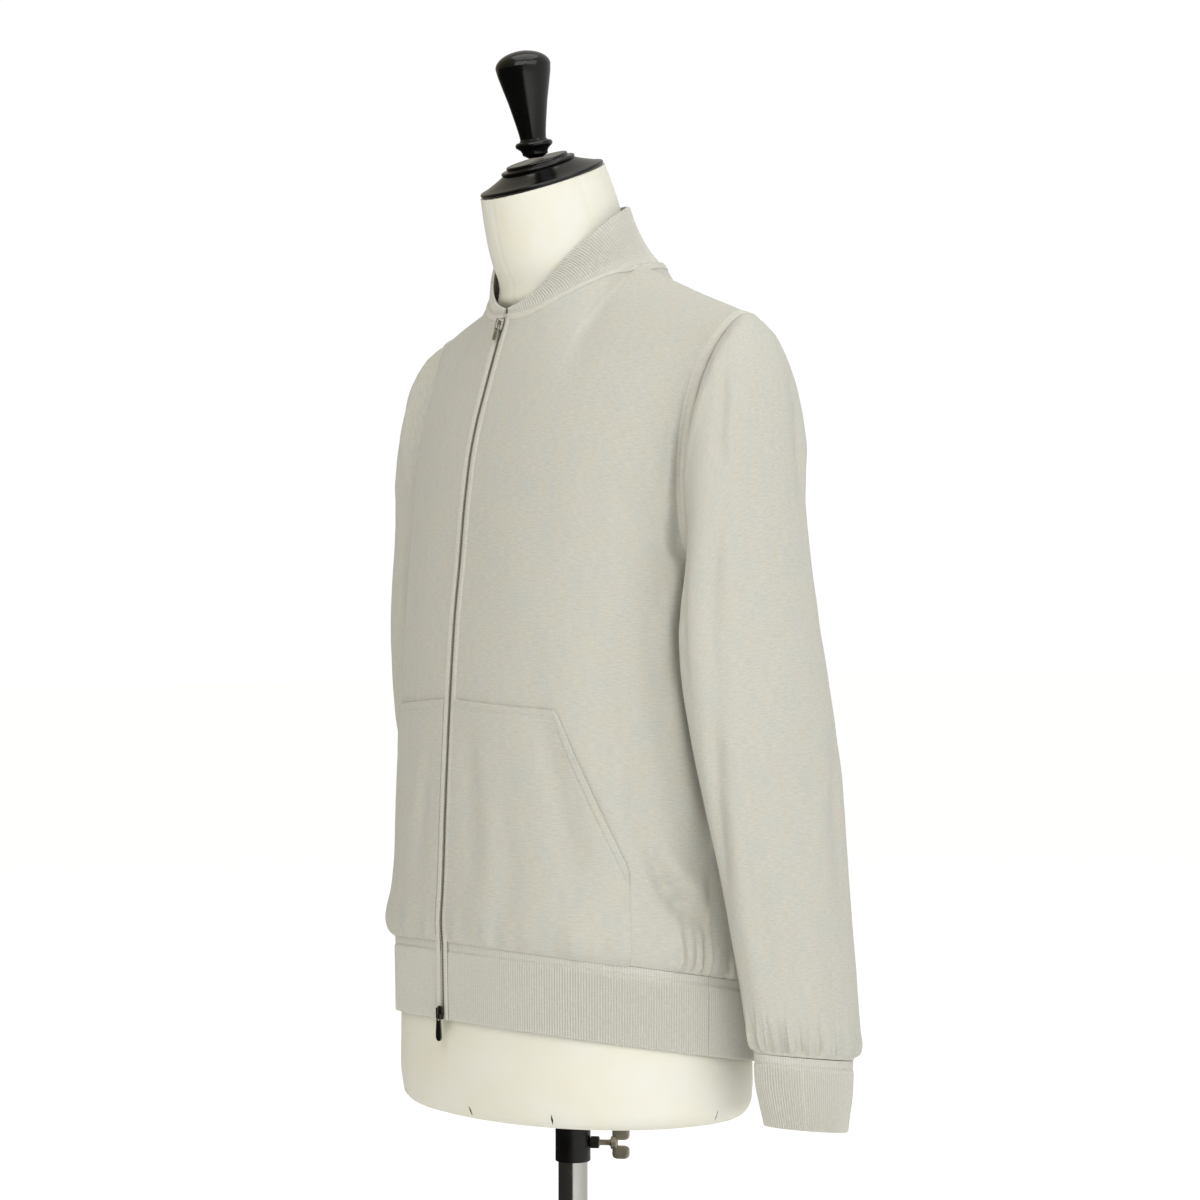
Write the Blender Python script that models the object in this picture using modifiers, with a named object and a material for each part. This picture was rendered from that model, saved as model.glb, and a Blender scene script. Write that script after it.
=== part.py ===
"""Knit bomber jacket on a limbless dress form.

Metres, +Z up, the zip faces -Y and the wearer's left is +X. The origin is the
centre of the stand's flat underside. Every panel is a wall through rows worked
out from the tables below; seams keep a gap of SEAM between the pieces.
"""

import math

import bmesh
import bpy
import numpy as np
from mathutils import Matrix, Vector
from mathutils.bvhtree import BVHTree

# ---------------------------------------------------------------- driving sizes
FORM_Z = 0.460          # underside of the dress form above the floor
WALL = 0.0016           # knit cloth
RIB_WALL = 0.0018       # ribbed trims, without the raised ribs
RIB_RISE = 0.0008       # how far a rib stands out
SEAM = 0.0003           # gap kept between neighbouring pieces
TAPE = 0.0008           # thickness of a tape sewn on the cloth
ZIP_HALF = 0.0025       # half of the slot that the zip's teeth fill
PLACKET_WIDTH = 0.0055
NECK_BAND_WIDTH = 0.0075
ARM_BAND_WIDTH = 0.0095
ARM_BAND_SET_IN = 0.0012   # the tape's edge stays this far from the armhole seam

HEM_FRONT = 0.0825      # lower edge of the hem at the front, above the form's underside
HEM_SLOPE = 0.167       # the hem falls towards the back
RIB_HEIGHT = 0.0650
SIDE_Y = 0.008          # the side seam and the middle of every section

ARMPIT_H, SHOULDER_H = 0.455, 0.661
SHOULDER_X, SHOULDER_Y = 0.2115, 0.018
ARM_FRONT_DEPTH, ARM_BACK_DEPTH = 0.030, 0.056
ARM_SPREAD = 0.013      # how much further out the armhole lies at its top than at the armpit
CHEST_TURN = 100.0      # place round the armhole, in degrees from its top, of the chest row

FRONT_COLUMNS = 13      # panel columns from the zip to the side, the first and last narrow
NECK_COLUMNS = 6        # of them, those that end on the neckline
ARM_ROWS_LOW = 4        # rows from the armpit to the chest row
UPPER_STEPS = (0.0, 0.20, 0.38, 0.55, 0.70, 0.83, 0.925, 1.0)

HEM_RIBS = 44           # ribs in a quarter of the hem
COLLAR_RIBS = 72
CUFF_RIBS = 36
RIBS_PER_INNER = 4      # outer columns carried by one column of the plain inside
TOP_BEVEL = 0.0014      # bevel on the inside of a panel's upper edge
NECK_BAND_STEPS, NECK_BAND_LIFT = 24, 0.0009
SEAM_REACH = 16.0       # degrees round the neck over which the band rises to the seam
NECK_BAND_UPPER = 0.0014   # the band's upper edge stays this far from the collar seam
POCKET_LIFT, POCKET_THICK = 0.0006, 0.0012


def columns(names, *rows):
    """A table as a dictionary of arrays, one for each named column."""
    return dict(zip(names.split(), np.array(rows, float).T))


# Half sections of the cloth above the hem: how far it reaches at the side, front and back.
BODY = columns(
    "height side front back",
    (0.06, 0.1750, -0.1340, 0.136),
    (0.15, 0.1745, -0.1340, 0.136),
    (0.23, 0.1750, -0.1325, 0.134),
    (0.29, 0.1740, -0.1300, 0.131),
    (0.34, 0.1725, -0.1270, 0.130),
    (0.39, 0.1715, -0.1245, 0.131),
    (0.46, 0.1735, -0.1170, 0.134),
    (0.51, 0.1790, -0.1120, 0.135),
    (0.57, 0.1880, -0.1020, 0.132),
    (0.60, 0.1940, -0.0930, 0.127),
    (0.64, 0.2000, -0.0800, 0.115),
    (0.67, 0.2050, -0.0700, 0.102),
    (0.72, 0.2050, -0.0560, 0.075),
)

# Rows above the hem seam: the rise from it and how far the bloused cloth swells there.
BLOUSE = columns(
    "rise swell",
    (0.000, 0.0000),
    (0.005, 0.0034),
    (0.013, 0.0056),
    (0.024, 0.0052),
    (0.038, 0.0028),
    (0.060, 0.0008),
    (0.100, 0.0),
    (0.150, 0.0),
    (0.205, 0.0),
    (0.260, 0.0),
    (0.310, 0.0),
)

# The neckline seam, from the zip (0 degrees) round to the back of the neck.
NECKLINE = columns(
    "turn height",
    (0, 0.671),
    (18, 0.673),
    (36, 0.682),
    (48, 0.690),
    (66, 0.7005),
    (80, 0.707),
    (97, 0.7115),
    (120, 0.715),
    (150, 0.716),
    (180, 0.716),
)
NECK_HALF, NECK_MID_Y, NECK_FRONT, NECK_BACK = 0.0755, 0.005, 0.075, 0.072
NECK_POINT_TURN = 97.0

# Rings of a sleeve: its outer edge, its inner edge, the middle and half depth in Y.
SLEEVE = columns(
    "outer_x outer_h inner_x inner_h mid_y half_depth",
    (0.2210, 0.6520, 0.1800, 0.4490, 0.0190, 0.0545),
    (0.2300, 0.6320, 0.1805, 0.4430, 0.0195, 0.0560),
    (0.2360, 0.6020, 0.1805, 0.4350, 0.0195, 0.0565),
    (0.2380, 0.5650, 0.1800, 0.4250, 0.0195, 0.0570),
    (0.2380, 0.5250, 0.1795, 0.4120, 0.0195, 0.0590),
    (0.2385, 0.4800, 0.1790, 0.3950, 0.0200, 0.0630),
    (0.2400, 0.4300, 0.1785, 0.3700, 0.0230, 0.0675),
    (0.2430, 0.3800, 0.1780, 0.3380, 0.0290, 0.0705),
    (0.2455, 0.3300, 0.1785, 0.3020, 0.0355, 0.0700),
    (0.2465, 0.2750, 0.1820, 0.2580, 0.0435, 0.0675),
    (0.2475, 0.2200, 0.1860, 0.2100, 0.0515, 0.0640),
    (0.2490, 0.1650, 0.1890, 0.1600, 0.0585, 0.0605),
    (0.2505, 0.1200, 0.1900, 0.1170, 0.0645, 0.0575),
    (0.2510, 0.0850, 0.1910, 0.0830, 0.0680, 0.0550),
    (0.2500, 0.0670, 0.1925, 0.0655, 0.0695, 0.0525),
    (0.2470, 0.0600, 0.1955, 0.0590, 0.0695, 0.0480),
)
CUFF = columns(
    "outer_x inner_x height mid_y half_depth",
    (0.2470, 0.1955, 0.0590, 0.0695, 0.0480),
    (0.2475, 0.1950, 0.0320, 0.0700, 0.0460),
    (0.2470, 0.1990, 0.0000, 0.0705, 0.0385),
)
SLEEVE_LEAN = 0.13      # the lower rings fall towards the back

# The dress form: rings from its underside to the cap seat, and how far each leans forward.
FORM = columns(
    "height half_width front back lean",
    (0.000, 0.1580, -0.1110, 0.1230, 0),
    (0.003, 0.1650, -0.1200, 0.1260, 0),
    (0.010, 0.1700, -0.1250, 0.1300, 0),
    (0.022, 0.1710, -0.1280, 0.1320, 0),
    (0.060, 0.1705, -0.1290, 0.1310, 0),
    (0.120, 0.1680, -0.1280, 0.1290, 0),
    (0.200, 0.1630, -0.1220, 0.1230, 0),
    (0.290, 0.1570, -0.1160, 0.1160, 0),
    (0.370, 0.1590, -0.1140, 0.1180, 0),
    (0.440, 0.1660, -0.1120, 0.1250, 0),
    (0.500, 0.1720, -0.1080, 0.1290, 0),
    (0.550, 0.1770, -0.1000, 0.1270, 0),
    (0.590, 0.1760, -0.0850, 0.1130, 0),
    (0.620, 0.1660, -0.0720, 0.1010, 0),
    (0.640, 0.1500, -0.0620, 0.0910, 0),
    (0.655, 0.1290, -0.0540, 0.0820, 0),
    (0.668, 0.1050, -0.0500, 0.0750, 0),
    (0.680, 0.0850, -0.0520, 0.0690, 2),
    (0.692, 0.0690, -0.0570, 0.0620, 6),
    (0.708, 0.0600, -0.0630, 0.0540, 11),
    (0.730, 0.0560, -0.0720, 0.0430, 17),
    (0.756, 0.0545, -0.0790, 0.0330, 20),
    (0.784, 0.0525, -0.0845, 0.0205, 20),
)
FORM_SIDES = 28
BODY_SQUARE, CHEST_SQUARE, FORM_SQUARE = 0.91, 0.94, 0.94   # powers of the ovals: 1 is an ellipse
POLE_RADIUS = 0.0125
BORE_RADIUS = 0.0129
BORE_DEPTH = 0.330
POLE_IN_FORM = 0.310    # how far the pole reaches up inside the form
CAP_LEAN = 20.0         # degrees that the neck cap tips forward
KNOB_LEAN = 10.0        # the knob stands more upright than the cap
KNOB_FOOT = 0.0060
KNOB_SEAT = SEAM + KNOB_FOOT * math.sin(math.radians(CAP_LEAN - KNOB_LEAN))
CAP_HEIGHT = 0.0190
CLAMP_LENGTH, CLAMP_RADIUS = 0.047, 0.0150
SCREW_DROP = 0.0310     # the wing screw's axis below the form
SCREW_TURN = 45.0       # direction in which the screw points, from +X towards the back
WING = (0.0115, 0.0026, 0.0150)
WING_PLACE = (0.0080, 0.0, 0.0262)
BASE_RADIUS, BASE_THICK = 0.170, 0.012
HUB_HEIGHT = 0.0222     # the base's hub round the pole's foot

ZIP_OUT, ZIP_IN = 0.0006, 0.0010   # the teeth in front of and behind the cloth's face
SLIDER = (0.0072, 0.0022, 0.0110)
SLIDER_TOP_H, SLIDER_BOTTOM_H = 0.6610, 0.0885
BRIDGE_BAR = (0.0018, 0.0014, 0.0090)
BRIDGE_LEG = 0.0014
BRIDGE_GAP = 0.0032     # room behind the bridge
PULL_EYE = -0.0020      # height of a pull's axis on its slider
PULL_BAR = 0.0011       # the strip of a pull that runs behind the slider's bridge
TOP_PULL_LENGTH, TOP_PULL_HALF, TOP_PULL_THICK = 0.0135, 0.0026, 0.0008
DROP_LENGTH, DROP_HALF, DROP_NECK, DROP_THICK = 0.0215, 0.0037, 0.0024, 0.0012


# ---------------------------------------------------------------- small helpers
def smooth(at, knots, values):
    """Cubic through the knots, whose slopes are those between their neighbours."""
    at = np.clip(at, knots[0], knots[-1])
    slopes = np.gradient(values, knots)
    k = np.clip(np.searchsorted(knots, at) - 1, 0, len(knots) - 2)
    span = knots[k + 1] - knots[k]
    f = (at - knots[k]) / span
    return (
        (1 + 2 * f) * (1 - f) ** 2 * values[k]
        + f * (1 - f) ** 2 * span * slopes[k]
        + f * f * (3 - 2 * f) * values[k + 1]
        - f * f * (1 - f) * span * slopes[k + 1]
    )


def unit(vectors):
    length = np.linalg.norm(vectors, axis=-1, keepdims=True)
    return vectors / np.maximum(length, 1e-12)


def along(curve, distances):
    """Points at the given distances along a polyline."""
    steps = np.linalg.norm(np.diff(curve, axis=0), axis=1)
    run = np.concatenate([[0.0], np.cumsum(steps)])
    return np.stack([np.interp(distances, run, curve[:, k]) for k in range(3)], axis=1)


def length_of(curve):
    return float(np.linalg.norm(np.diff(curve, axis=0), axis=1).sum())


def normals_of(grid, ring=False):
    """Unit normals of a grid of points, outward for rows going up and columns going left."""
    across = np.gradient(grid, axis=1)
    if ring:
        across = (np.roll(grid, -1, axis=1) - np.roll(grid, 1, axis=1)) / 2
    return unit(np.cross(across, np.gradient(grid, axis=0)))


def mirrored(points):
    return points * np.array([-1.0, 1.0, 1.0])


def both_halves(grid):
    """A grid from the wearer's left edge over the middle column to the right edge."""
    return np.concatenate([grid[:, ::-1], mirrored(grid)[:, 1:]], axis=1)


def object_from(name, points, faces, material):
    """One closed body from points and faces, its faces turned to point out."""
    mesh = bpy.data.meshes.new(name)
    mesh.from_pydata([tuple(p) for p in points], [], faces)
    build = bmesh.new()
    build.from_mesh(mesh)
    bmesh.ops.triangulate(build, faces=build.faces)
    bmesh.ops.recalc_face_normals(build, faces=build.faces)
    if build.calc_volume(signed=True) < 0:
        bmesh.ops.reverse_faces(build, faces=build.faces)
    build.to_mesh(mesh)
    build.free()
    mesh.materials.append(material)
    mesh.shade_smooth()
    mesh.set_sharp_from_angle(angle=math.radians(50))
    item = bpy.data.objects.new(name, mesh)
    COLLECTION.objects.link(item)
    return item


def stitch(points, first, second):
    """Triangles between two rows of point numbers that run side by side.

    Each next triangle is the one that adds the shorter edge between the rows.
    """
    faces, i, j = [], 0, 0
    while i < len(first) - 1 or j < len(second) - 1:
        is_on_first = j == len(second) - 1
        if not is_on_first and i < len(first) - 1:
            ahead = points[first[i + 1]] - points[second[j]]
            behind = points[first[i]] - points[second[j + 1]]
            is_on_first = np.linalg.norm(ahead) <= np.linalg.norm(behind)
        if is_on_first:
            faces.append((first[i], first[i + 1], second[j]))
            i += 1
        else:
            faces.append((first[i], second[j + 1], second[j]))
            j += 1
    return faces


def wall(name, outer, inner, material, ring=False):
    """A cloth wall between an outer and a plainer inner grid of rows and columns.

    The two grids share their edges' course but not their number of columns, so the
    edges are closed by a zigzag of triangles. With ring, the last column meets the first.
    """
    count = outer.shape[0] * outer.shape[1]
    number = [
        np.arange(count).reshape(outer.shape[:2]),
        count + np.arange(inner.shape[0] * inner.shape[1]).reshape(inner.shape[:2]),
    ]
    if ring:
        number = [np.concatenate([n, n[:, :1]], axis=1) for n in number]
    faces = []
    for n, flip in zip(number, (False, True)):
        quads = np.stack([n[:-1, :-1], n[:-1, 1:], n[1:, 1:], n[1:, :-1]], axis=-1)
        quads = quads.reshape(-1, 4)
        faces += [tuple(int(v) for v in q) for q in (quads[:, ::-1] if flip else quads)]
    outside, inside = number
    points = np.concatenate([outer.reshape(-1, 3), inner.reshape(-1, 3)])
    points = points + np.array([0.0, 0.0, FORM_Z])
    faces += stitch(points, outside[0], inside[0]) + stitch(points, outside[-1], inside[-1])
    if not ring:
        faces += stitch(points, outside[:, 0], inside[:, 0])
        faces += stitch(points, outside[:, -1], inside[:, -1])
    return object_from(name, points, [tuple(map(int, f)) for f in faces], material)


def plain_inside(grid):
    """The columns that the inside of a wall keeps: every other one below the neckline.

    Its upper edge is bevelled down, because its longer chords rise over the seam's curve.
    """
    grid = grid.copy()
    grid[-1] += TOP_BEVEL * unit(grid[-2] - grid[-1])
    last = grid.shape[1] - 1
    flat = range(1, NECK_COLUMNS, 2)
    return grid[:, sorted({0, *flat, *range(NECK_COLUMNS, last + 1)})]


def principled(name, colour, roughness, metallic=0.0):
    material = bpy.data.materials.new(name)
    material.use_nodes = True
    shader = material.node_tree.nodes["Principled BSDF"]
    shader.inputs["Base Color"].default_value = (*colour, 1.0)
    shader.inputs["Roughness"].default_value = roughness
    shader.inputs["Metallic"].default_value = metallic
    return material


# ---------------------------------------------------------------- the jacket's body
def rib_top(y):
    """Height of the seam between the body and the ribbed hem."""
    return HEM_FRONT + RIB_HEIGHT - HEM_SLOPE * (y + 0.134)


def section(height, turn, swell=0.0):
    """Points of the body's outline at these heights, turned from the zip to the back.

    A quarter runs as an oval that is a little squarer than an ellipse.
    """
    side = smooth(height, BODY["height"], BODY["side"]) + swell
    front = smooth(height, BODY["height"], BODY["front"]) - swell
    back = smooth(height, BODY["height"], BODY["back"]) + swell
    sine = np.abs(np.sin(turn)) ** BODY_SQUARE
    cosine = np.abs(np.cos(turn)) ** BODY_SQUARE
    reach = np.where(np.cos(turn) > 0, front - SIDE_Y, back - SIDE_Y)
    return np.stack([side * sine, SIDE_Y + reach * cosine, height + 0 * turn], axis=-1)


def column_distances(total, last_width):
    """Distances of the columns along a row: a placket's width, even ones, a tape's width."""
    middle = np.linspace(PLACKET_WIDTH, total - last_width, FRONT_COLUMNS - 1)
    return np.concatenate([[0.0], middle, [total]])


def start_at_zip(curve, is_front):
    """Cuts the stretch that lies in the zip's slot off the row."""
    if not is_front:
        return curve
    reach = np.interp(ZIP_HALF, curve[:, 0], np.arange(len(curve)))
    first = int(math.floor(reach)) + 1
    f = reach - (first - 1)
    start = curve[first - 1] * (1 - f) + curve[first] * f
    return np.vstack([start, curve[first:]])


def swell_at(turn, amount):
    """The blouse is held flat at the zip and lies in soft uneven waves elsewhere."""
    held = 0.25 + 0.75 * np.clip(np.sin(turn) * 2.2, 0, 1)
    held = np.where(np.cos(turn) < 0, 0.55 + 0.45 * np.abs(np.sin(turn)), held)
    waves = 1 + 0.22 * np.sin(9 * turn + 0.6) + 0.16 * np.sin(23 * turn + 1.1)
    return amount * held * waves


def body_row(rise, amount, is_front):
    """One row of the lower body, from the zip or the middle of the back to the side seam."""
    turn = np.linspace(0, math.pi / 2, 80)
    if not is_front:
        turn = math.pi - turn
    height = np.full(80, 0.14)
    for _ in range(6):
        y = section(height, turn)[:, 1]
        share = rise / BLOUSE["rise"][-1]
        top = ARMPIT_H + (0.015 if is_front else 0.010) * np.cos(turn) ** 2
        gap = top - rib_top(y)
        height = rib_top(y) + (rise if rise < 0.06 else 0.06 + (gap - 0.06) * low_share(share))
    row = section(height, turn, swell_at(turn, amount))
    return along_row(start_at_zip(row, is_front), ARM_BAND_WIDTH)


def low_share(share):
    """Turns the share of the last rise into the share of the height above the blouse."""
    start = 0.06 / BLOUSE["rise"][-1]
    return (share - start) / (1 - start)


def along_row(row, last_width):
    return along(row, column_distances(length_of(row), last_width))


def armhole(turn, is_front):
    """The armhole's edge, from its top (0 degrees) to the armpit (180 degrees)."""
    turn = np.radians(turn)
    middle, half = (ARMPIT_H + SHOULDER_H) / 2, (SHOULDER_H - ARMPIT_H) / 2
    height = middle + half * np.cos(turn)
    q = (height - ARMPIT_H) / (2 * half)
    side = float(smooth(np.array(ARMPIT_H), BODY["height"], BODY["side"]))
    x = side + ARM_SPREAD * q + (SHOULDER_X - side - ARM_SPREAD) * q**5
    depth = -ARM_FRONT_DEPTH if is_front else ARM_BACK_DEPTH
    y = SIDE_Y + (SHOULDER_Y - SIDE_Y) * q + depth * np.sin(turn)
    return np.stack([x, y, height], axis=-1)


def chest_row(turn, is_front):
    """A row that ends on the armhole, its bend easing from a quarter turn."""
    edge = armhole(turn, is_front)
    share = (180 - turn) / (180 - CHEST_TURN)
    base = ARMPIT_H + (0.015 if is_front else 0.010)
    middle_h = base + (0.580 - base) * share
    knots = BODY["front" if is_front else "back"]
    middle_y = float(smooth(np.array(middle_h), BODY["height"], knots))
    bend = math.radians(90 - (16 if is_front else 28) * share)
    square = BODY_SQUARE + (CHEST_SQUARE - BODY_SQUARE) * share
    part = np.linspace(0, bend, 80)
    over = np.sin(part) ** square / math.sin(bend) ** square
    back = (1 - np.cos(part) ** square) / (1 - math.cos(bend) ** square)
    row = np.stack(
        [
            edge[0] * over,
            middle_y + (edge[1] - middle_y) * back,
            middle_h + (edge[2] - middle_h) * (part / bend) ** 1.5,
        ],
        axis=-1,
    )
    return along_row(start_at_zip(row, is_front), ARM_BAND_WIDTH)


def neckline(turn):
    """The neckline seam at this turn from the zip, in degrees."""
    around = np.radians(turn)
    depth = np.where(np.cos(around) > 0, NECK_FRONT, NECK_BACK)
    return np.stack(
        [
            NECK_HALF * np.sin(around),
            NECK_MID_Y - depth * np.cos(around),
            smooth(turn, NECKLINE["turn"], NECKLINE["height"]),
        ],
        axis=-1,
    )


def shoulder_seam(share):
    """The shoulder seam from the neck (0) to the armhole (1), a little hollow."""
    neck = neckline(np.array(NECK_POINT_TURN))
    tip = armhole(0.0, True)
    line = neck + (tip - neck) * share[:, None]
    line[:, 2] -= 0.001 * np.sin(math.pi * share)
    return line


def top_row(is_front):
    """The upper edge of a panel: the neckline, then the shoulder seam."""
    start = math.degrees(math.asin(ZIP_HALF / NECK_HALF)) if is_front else 180.0
    neck = neckline(np.linspace(start, NECK_POINT_TURN, 60))
    even = np.linspace(PLACKET_WIDTH, length_of(neck), NECK_COLUMNS)
    neck = along(neck, np.append(0.0, even))
    total = length_of(np.array([neckline(np.array(NECK_POINT_TURN)), armhole(0.0, True)]))
    even = np.linspace(0, 1 - ARM_BAND_WIDTH / total, FRONT_COLUMNS - NECK_COLUMNS)
    return np.vstack([neck[:-1], shoulder_seam(np.append(even, 1.0))])


# Directions in which the cloth arrives at the upper edge, by column share.
ARRIVAL = columns(
    "share x y z",
    (0.00, 0.0, 0.32, 1.0),
    (0.25, -0.1, 0.45, 0.9),
    (0.50, 0.0, 0.90, 0.55),
    (0.75, 0.0, 1.00, 0.22),
    (1.00, 0.1, 1.00, 0.05),
)


def upper_rows(below, chest, is_front):
    """Rows from the chest row over the shoulder, each column a cubic in space.

    Its two edges are drawn onto the zip's line and the armhole.
    """
    top = top_row(is_front)
    reach = np.linalg.norm(top - chest, axis=1, keepdims=True)
    share = np.linspace(0, 1, FRONT_COLUMNS + 1)
    arrive = [smooth(share, ARRIVAL["share"], ARRIVAL[k]) for k in "xyz"]
    arrive = unit(np.stack(arrive, axis=1)) * np.array([1, 1 if is_front else -1, 1])
    leave = unit(chest - below) * reach
    arrive = arrive * reach * 1.05
    middle_h = np.interp(UPPER_STEPS, (0, 1), (chest[0, 2], top[0, 2]))
    knots = BODY["front" if is_front else "back"]
    middle_y = smooth(middle_h, BODY["height"], knots)
    middle_y += (top[0, 1] - middle_y[-1]) * np.array(UPPER_STEPS) ** 2
    middle = np.stack([np.full(len(middle_h), top[0, 0]), middle_y, middle_h], axis=1)
    edge = armhole(CHEST_TURN * (1 - np.array(UPPER_STEPS)), is_front)
    rows = []
    for k, step in enumerate(UPPER_STEPS):
        v = np.full((len(chest), 1), step)
        if k == len(UPPER_STEPS) - 2:
            v = 1 - NECK_BAND_WIDTH / reach
        row = (
            (1 + 2 * v) * (1 - v) ** 2 * chest
            + v * (1 - v) ** 2 * leave
            + v * v * (3 - 2 * v) * top
            - v * v * (1 - v) * arrive
        )
        pull = share[:, None]
        row = row + (1 - pull) ** 2 * (middle[k] - row[0]) + pull**2 * (edge[k] - row[-1])
        rows.append(row)
    rows[-1] = top
    return rows


def panel(is_front):
    """Half of the front or back as a grid: rows go up, columns from the middle to the side."""
    rows = [body_row(r, s, is_front) for r, s in zip(BLOUSE["rise"], BLOUSE["swell"])]
    for turn in np.linspace(180, CHEST_TURN, ARM_ROWS_LOW + 1):
        rows.append(chest_row(turn, is_front))
    rows += upper_rows(rows[-2], rows[-1], is_front)[1:]
    return np.array(rows)


def drawn_in(grid, edges):
    """The grid with the named edges moved in by half a seam's gap."""
    grid = grid.copy()
    half = SEAM / 2
    if "low" in edges:
        grid[0] += half * unit(grid[1] - grid[0])
    if "top" in edges:
        grid[-1] += half * unit(grid[-2] - grid[-1])
    if "first" in edges:
        grid[:, 0] += half * unit(grid[:, 1] - grid[:, 0])
    if "last" in edges:
        grid[:, -1] += half * unit(grid[:, -2] - grid[:, -1])
    return grid


def body_panels():
    """Grids and normals of the left front and the left half of the back.

    Where the two meet, in the side seam and the shoulder seam, they share one normal,
    so that the inside of each wall ends on the same line.
    """
    front, back = panel(True), panel(False)
    front_n, back_n = normals_of(front), -normals_of(back)
    armpit = len(BLOUSE["rise"])
    side = unit(front_n[: armpit + 1, -1] + back_n[: armpit + 1, -1])
    front_n[: armpit + 1, -1] = back_n[: armpit + 1, -1] = side
    ridge = slice(NECK_COLUMNS, None)
    shoulder = unit(front_n[-1, ridge] + back_n[-1, ridge])
    front_n[-1, ridge] = back_n[-1, ridge] = shoulder
    front_n[:, 0, 0] = back_n[:, 0, 0] = 0.0
    return front, unit(front_n), back, unit(back_n)


def make_body():
    """Two fronts and a back, and the grids that the trims lie on."""
    front, front_n, back, back_n = body_panels()
    front = drawn_in(front, ("low", "top", "last"))
    back = drawn_in(back, ("low", "top", "last"))
    inner = plain_inside(front - WALL * front_n)
    wall("front_left", front, inner, KNIT)
    wall("front_right", mirrored(front)[:, ::-1], mirrored(inner)[:, ::-1], KNIT)
    inner = plain_inside(back - WALL * back_n)
    wall("back", both_halves(back), both_halves(inner), KNIT)
    return front, front_n, back, back_n


# ---------------------------------------------------------------- sleeves and cuffs
def armhole_turns():
    """Turns round the armhole at which the panels' rows end, from its top to the armpit."""
    upper = CHEST_TURN * (1 - np.array(UPPER_STEPS))
    lower = np.linspace(CHEST_TURN, 180, ARM_ROWS_LOW + 1)
    return np.concatenate([upper[::-1], lower[1:]])


def lean_down(ring, middle_y, share):
    """Tips a ring towards the back by a share of the sleeve's lean."""
    ring[:, 2] -= SLEEVE_LEAN * share * (ring[:, 1] - middle_y)
    return ring


def oval(outer, inner, middle_y, half_depth, turn):
    """A ring between an outer and an inner edge, turned from the outer edge to the front."""
    centre, arm = (outer + inner) / 2, (outer - inner) / 2
    ring = centre + arm * np.cos(turn)[:, None]
    ring[:, 1] = middle_y - half_depth * np.sin(turn)
    return ring


def sleeve_grid():
    """Rings from the armhole down to the cuff; the last ones are gathered."""
    turns = armhole_turns()
    around = np.radians(np.concatenate([turns, 360 - turns[-2:0:-1]]))
    even = np.linspace(0, 2 * math.pi, len(around), endpoint=False)
    front = armhole(turns, True)
    back = armhole(turns[-2:0:-1], False)
    rings = [np.concatenate([front, back]) + np.array([SEAM, 0, 0])]
    table = SLEEVE
    count = len(table["mid_y"])
    for k in range(count):
        share = min(1.0, (k + 1) / 5)
        turn = around * (1 - share) + even * share
        gather = 1 + 0.018 * max(0.0, (k - count + 5) / 4) * np.cos(len(even) / 2 * even)
        if k == count - 1:
            gather = 1.0
        outer = np.array([table["outer_x"][k], 0, table["outer_h"][k]])
        inner = np.array([table["inner_x"][k], 0, table["inner_h"][k]])
        middle = table["mid_y"][k]
        ring = oval(outer, inner, middle, table["half_depth"][k], turn)
        centre = np.array([(outer[0] + inner[0]) / 2, middle, (outer[2] + inner[2]) / 2])
        ring = centre + (ring - centre) * np.reshape(gather, (-1, 1))
        rings.append(lean_down(ring, middle, np.clip((k - 5) / (count - 6), 0, 1)))
    return np.array(rings)


def make_sleeve(side, flip):
    rings = sleeve_grid()
    middle = rings.mean(axis=1, keepdims=True)
    normal = normals_of(rings, ring=True)
    if (normal[8] * (rings[8] - middle[8])).sum() < 0:
        normal = -normal
    normal[0] = unit((rings[0] - middle[0]) * np.array([0, 1, 1]))
    low = unit((rings[0] - middle[0]) * np.array([0, 1, 1]))[:, 2] < -0.7
    normal[0, low] = unit(normal[0, low] - np.array([0.8, 0, 0]))
    normal[-1, :, 2] = 0
    normal[-1] = unit(normal[-1])
    inner = rings - WALL * normal
    if flip:
        rings, inner = mirrored(rings)[:, ::-1], mirrored(inner)[:, ::-1]
    wall("sleeve_" + side, rings, inner, KNIT, ring=True)


def ribs(count):
    """Rises of a row of ribs: two columns a rib, valley and crest in turn."""
    rise = np.zeros(count * 2)
    rise[1::2] = RIB_RISE
    return rise


def make_cuff(side, flip):
    around = np.linspace(0, 2 * math.pi, CUFF_RIBS * 2, endpoint=False)
    rings, inner = [], []
    table = CUFF
    for k in range(len(table["height"])):
        height = table["height"][k] - (SEAM if k == 0 else 0)
        outer = np.array([table["outer_x"][k], 0, height])
        inside = np.array([table["inner_x"][k], 0, height])
        middle = table["mid_y"][k]
        ring = oval(outer, inside, middle, table["half_depth"][k], around)
        ring = lean_down(ring, middle, 1.0)
        nearby = np.roll(ring, -1, axis=0) - np.roll(ring, 1, axis=0)
        normal = unit(np.cross(nearby, np.array([0.0, 0.0, 1.0])))
        if (normal * (ring - ring.mean(axis=0))).sum() < 0:
            normal = -normal
        rings.append(ring + normal * (ribs(CUFF_RIBS) - RIB_RISE / 2)[:, None])
        inner.append((ring - normal * RIB_WALL)[::RIBS_PER_INNER])
    rings, inner = np.array(rings), np.array(inner)
    if flip:
        rings, inner = mirrored(rings)[:, ::-1], mirrored(inner)[:, ::-1]
    wall("cuff_" + side, rings, inner, RIB, ring=True)


# ---------------------------------------------------------------- hem, collar and tapes
def hem_edge(turn, drop):
    """The hem's base outline, a drop below its seam."""
    height = np.full(len(turn), 0.14)
    for _ in range(6):
        height = rib_top(section(height, turn)[:, 1]) - drop
    pinch = -0.0012 if drop > RIB_HEIGHT / 2 else 0.0
    return section(height, turn, pinch)


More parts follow.
